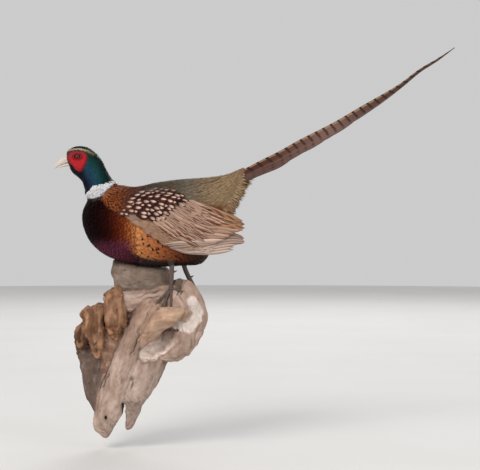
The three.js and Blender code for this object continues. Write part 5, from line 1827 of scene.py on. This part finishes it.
def wood_tones(points, w):
    """Colours: each limb's own, blended where limbs meet, then lightened in places, given painted light and
    shade, and stained.
    """
    share = np.exp(-(w.measures - w.order[0]) / 0.05)
    own_tones = np.array([rgb(*colour) for _, _, colour, _ in LIMBS.values()])
    tone = (share.T @ own_tones) / share.sum(0)[:, None]
    tone = np.where(w.is_back[:, None], rgb(112, 96, 84), tone)
    # painted shade down the left side of the diagonal limb, over its middle run
    middle_run = smooth(-w.z, -60, 0) * (1 - smooth(-w.z, 170, 210))
    shaded = smooth(w.leftward, 4, 26) * w.on("diagonal") * middle_run
    inner_side = smooth(-w.x, -14, 16) * smooth(-w.z, 60, 100) * w.on("lower panel")
    # the hollow's inside, which takes a pale colour with painted light and painted shade
    hollow = smooth(-w.bowl, -1.15, -0.85) * ~w.over * smooth(-w.y, 50, 72)
    on_burl = w.on("burl", "apron", "seat")
    white, _ = near_path(w.x, w.z, WHITE_PATCH_LINE)
    # a white patch on the burl, along its line
    patch = smooth(-white - 3.5 * lattice_noise(points / 7, 9), -12.5, -8) * on_burl * smooth(-w.y, 84, 96)
    rim = smooth(np.hypot(w.x - 62, (w.z - 5) * 0.92), 50, 60) * on_burl * (1 - patch) * (1 - hollow)
    pale = smooth(lattice_noise(w.grain / 6, 31), 0.1, 0.6) * (1 - 0.7 * w.rough) * w.strength
    tone = layered(
        tone,
        ((206, 180, 164), smooth(-w.z, -10, 120) * w.on("diagonal") * 0.9),
        ((140, 112, 98), shaded * 0.65),
        ((206, 172, 146), w.on("branch") * smooth(w.x, 30, 74) * 0.5),
        ((206, 182, 168), inner_side * (1 - w.torn) * 0.85),
        # the hollow: pale, with painted light towards its lower edge and painted shade towards its top right
        (blend(rgb(246, 228, 216), rgb(146, 124, 112), smooth(w.ex + 0.8 * w.ez, -0.3, 0.9)), hollow),
        ((228, 212, 202), patch * 0.95),
        ((188, 158, 140), rim * 0.6),
        ((214, 194, 180), pale * 0.4 * (1 - patch)),
    )
    fibre = smooth(lattice_noise(w.grain / 4.5, 33), -0.35, 0.45)
    brown = smooth(lattice_noise(w.grain / 9, 32), 0.1, 0.7) * (1 - patch) * (1 - 0.6 * hollow) * w.strength
    # painted shade in the creases between limbs; darker too in the troughs of the coarse grain and along the
    # cracks
    dark = 0.12 * w.crease + w.strength * (0.7 * w.crack + 0.2 * smooth(-w.coarse, 0.2, 1.0))
    tone = layered(
        tone,
        (blend(tone * 0.62, rgb(190, 146, 112), fibre), 0.55 * w.rough),
        ((122, 88, 70), brown * 0.4),
        ((124, 106, 94), 0.75 * smooth(w.y, -52, -20)),
        ((84, 60, 48), np.clip(dark, 0, 1) * (1 - 0.6 * np.maximum(patch, hollow)) * 0.6),
        # dark split lines, and painted shade in the dimple round the prong's hole
        ((66, 46, 37), np.maximum(0.75 * w.split, 0.55 * w.dimple)),
    )
    mottle = 0.12 * lattice_noise(points / 24, 12) + 0.05 * lattice_noise(points / 9, 13)
    return tone * (1 + 0.07 * w.medium + mottle)[:, None]


def build_wood():
    """The driftwood: its limbs joined, its folds filled, then worn, pressed in and coloured."""
    points, faces = wood_source()
    w = wood_fields(points, faces)
    wear = wood_wear(points, w)
    fill_folds(points, w)
    w.y = points[:, 1].copy()
    points = points + w.normal * wear[:, None]
    press_in(points, w)
    marks = {"tone": wood_tones(points, w), "vane": w.grain}
    uv = side_unwrap(points, w.normal[:, 1] > 0)
    return mesh_from("weathered_driftwood", points, faces, uv, marks, wood_finish)


def weathered_wood():
    """Bleached wood: pale and dark streaks drawn out along the grain, fine cracks, dry sheen."""
    f = Finish("weathered driftwood", Roughness=0.85, Specular_IOR_Level=0.15)
    grain = f.mark("vane")
    streaks = f.noise(grain, 0.24, 4.0, 0.6)
    fine = f.noise(grain, 0.9, 3.0, 0.6)
    crack = f.step(f.noise(grain, 0.2, 5.0, 0.7), 0.62, 0.67)
    speck = f.noise(f.place(), 260.0, 3.0)
    blotch = f.noise(f.place(), 90.0, 3.0)
    level = 0.62 + (streaks - 0.5) * 0.4 + (fine - 0.5) * 0.3 + (speck - 0.5) * 0.3 + (blotch - 0.5) * 0.55
    colour = f.shade(f.mark("tone", "Color"), level + 0.27)
    colour = f.mix(crack * 0.25, colour, rgb(70, 50, 40))
    f.bump(streaks * 0.6 + fine * 0.6 + blotch * 0.4 - crack * 0.8, 0.0022, 0.9)
    return f.coloured(colour)


wood_finish = weathered_wood()
hand_in(build_wood(), "wood", "driftwood")

steel = Finish("zinc plate", Roughness=0.42, Metallic=0.9)
scratch = steel.noise(steel.place(), 500.0, 4.0)
steel_finish = steel.coloured(steel.mix(scratch, rgb(172, 174, 176), rgb(138, 138, 136)))
for node in ("hanger_plate", "hanger_screw_upper", "hanger_screw_lower"):
    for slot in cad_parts[node].material_slots:
        slot.material = steel_finish

# ---- stage

camera = bpy.data.cameras.new("camera")
camera.lens, camera.sensor_width = 92.3, 36.0
eye_point = bpy.data.objects.new("camera", camera)
eye_point.location = (0.18525, -2.49, 0.16575)
eye_point.rotation_euler = (np.pi / 2, 0, 0)
bpy.context.scene.collection.objects.link(eye_point)
bpy.context.scene.camera = eye_point


def soft_light(name, place, aim, size, power, colour=(1, 1, 1)):
    """A square area light at a place, turned to its aim."""
    lamp = bpy.data.lights.new(name, "AREA")
    lamp.size, lamp.energy, lamp.color = size, power, colour
    thing = bpy.data.objects.new(name, lamp)
    thing.location = place
    d = np.array(aim, float) - np.array(place, float)
    thing.rotation_euler = (np.arctan2(np.hypot(d[0], d[1]), -d[2]), 0, np.arctan2(d[1], d[0]) - np.pi / 2)
    bpy.context.scene.collection.objects.link(thing)


soft_light("key", (-2.3, -4.5, 3.65), (0.1, -0.1, 0.15), 2.6, 224, (1.0, 0.97, 0.94))
soft_light("fill", (3.9, -3.1, 1.65), (0.1, -0.1, 0.15), 3.2, 48, (0.97, 0.98, 1.0))
soft_light("back", (0.7, 4.5, 3.4), (0.1, -0.1, 0.2), 2.8, 88)

world = bpy.data.worlds.new("pale room")
bpy.context.scene.world = world
world.use_nodes = True
world.node_tree.nodes["Background"].inputs[0].default_value = (0.80, 0.80, 0.81, 1)
world.node_tree.nodes["Background"].inputs[1].default_value = 0.75
bpy.context.scene.view_settings.view_transform = "Standard"

FLOOR_RADIUS, FLOOR_LEVEL, FLOOR_SIDES = 8000, -262.0, 120
turn = np.linspace(0, 2 * np.pi, FLOOR_SIDES, endpoint=False)
rim = [FLOOR_RADIUS * np.cos(turn), FLOOR_RADIUS * np.sin(turn), np.full(FLOOR_SIDES, FLOOR_LEVEL)]
ground = Finish("pale floor", Roughness=0.9)
cloud = ground.noise(ground.place(), 3.0)
paving = ground.coloured(ground.mix(cloud, rgb(214, 213, 210), rgb(222, 221, 219)))
floor = mesh_from("floor", np.stack(rim, -1), [np.arange(FLOOR_SIDES)[None]], finish=paving)
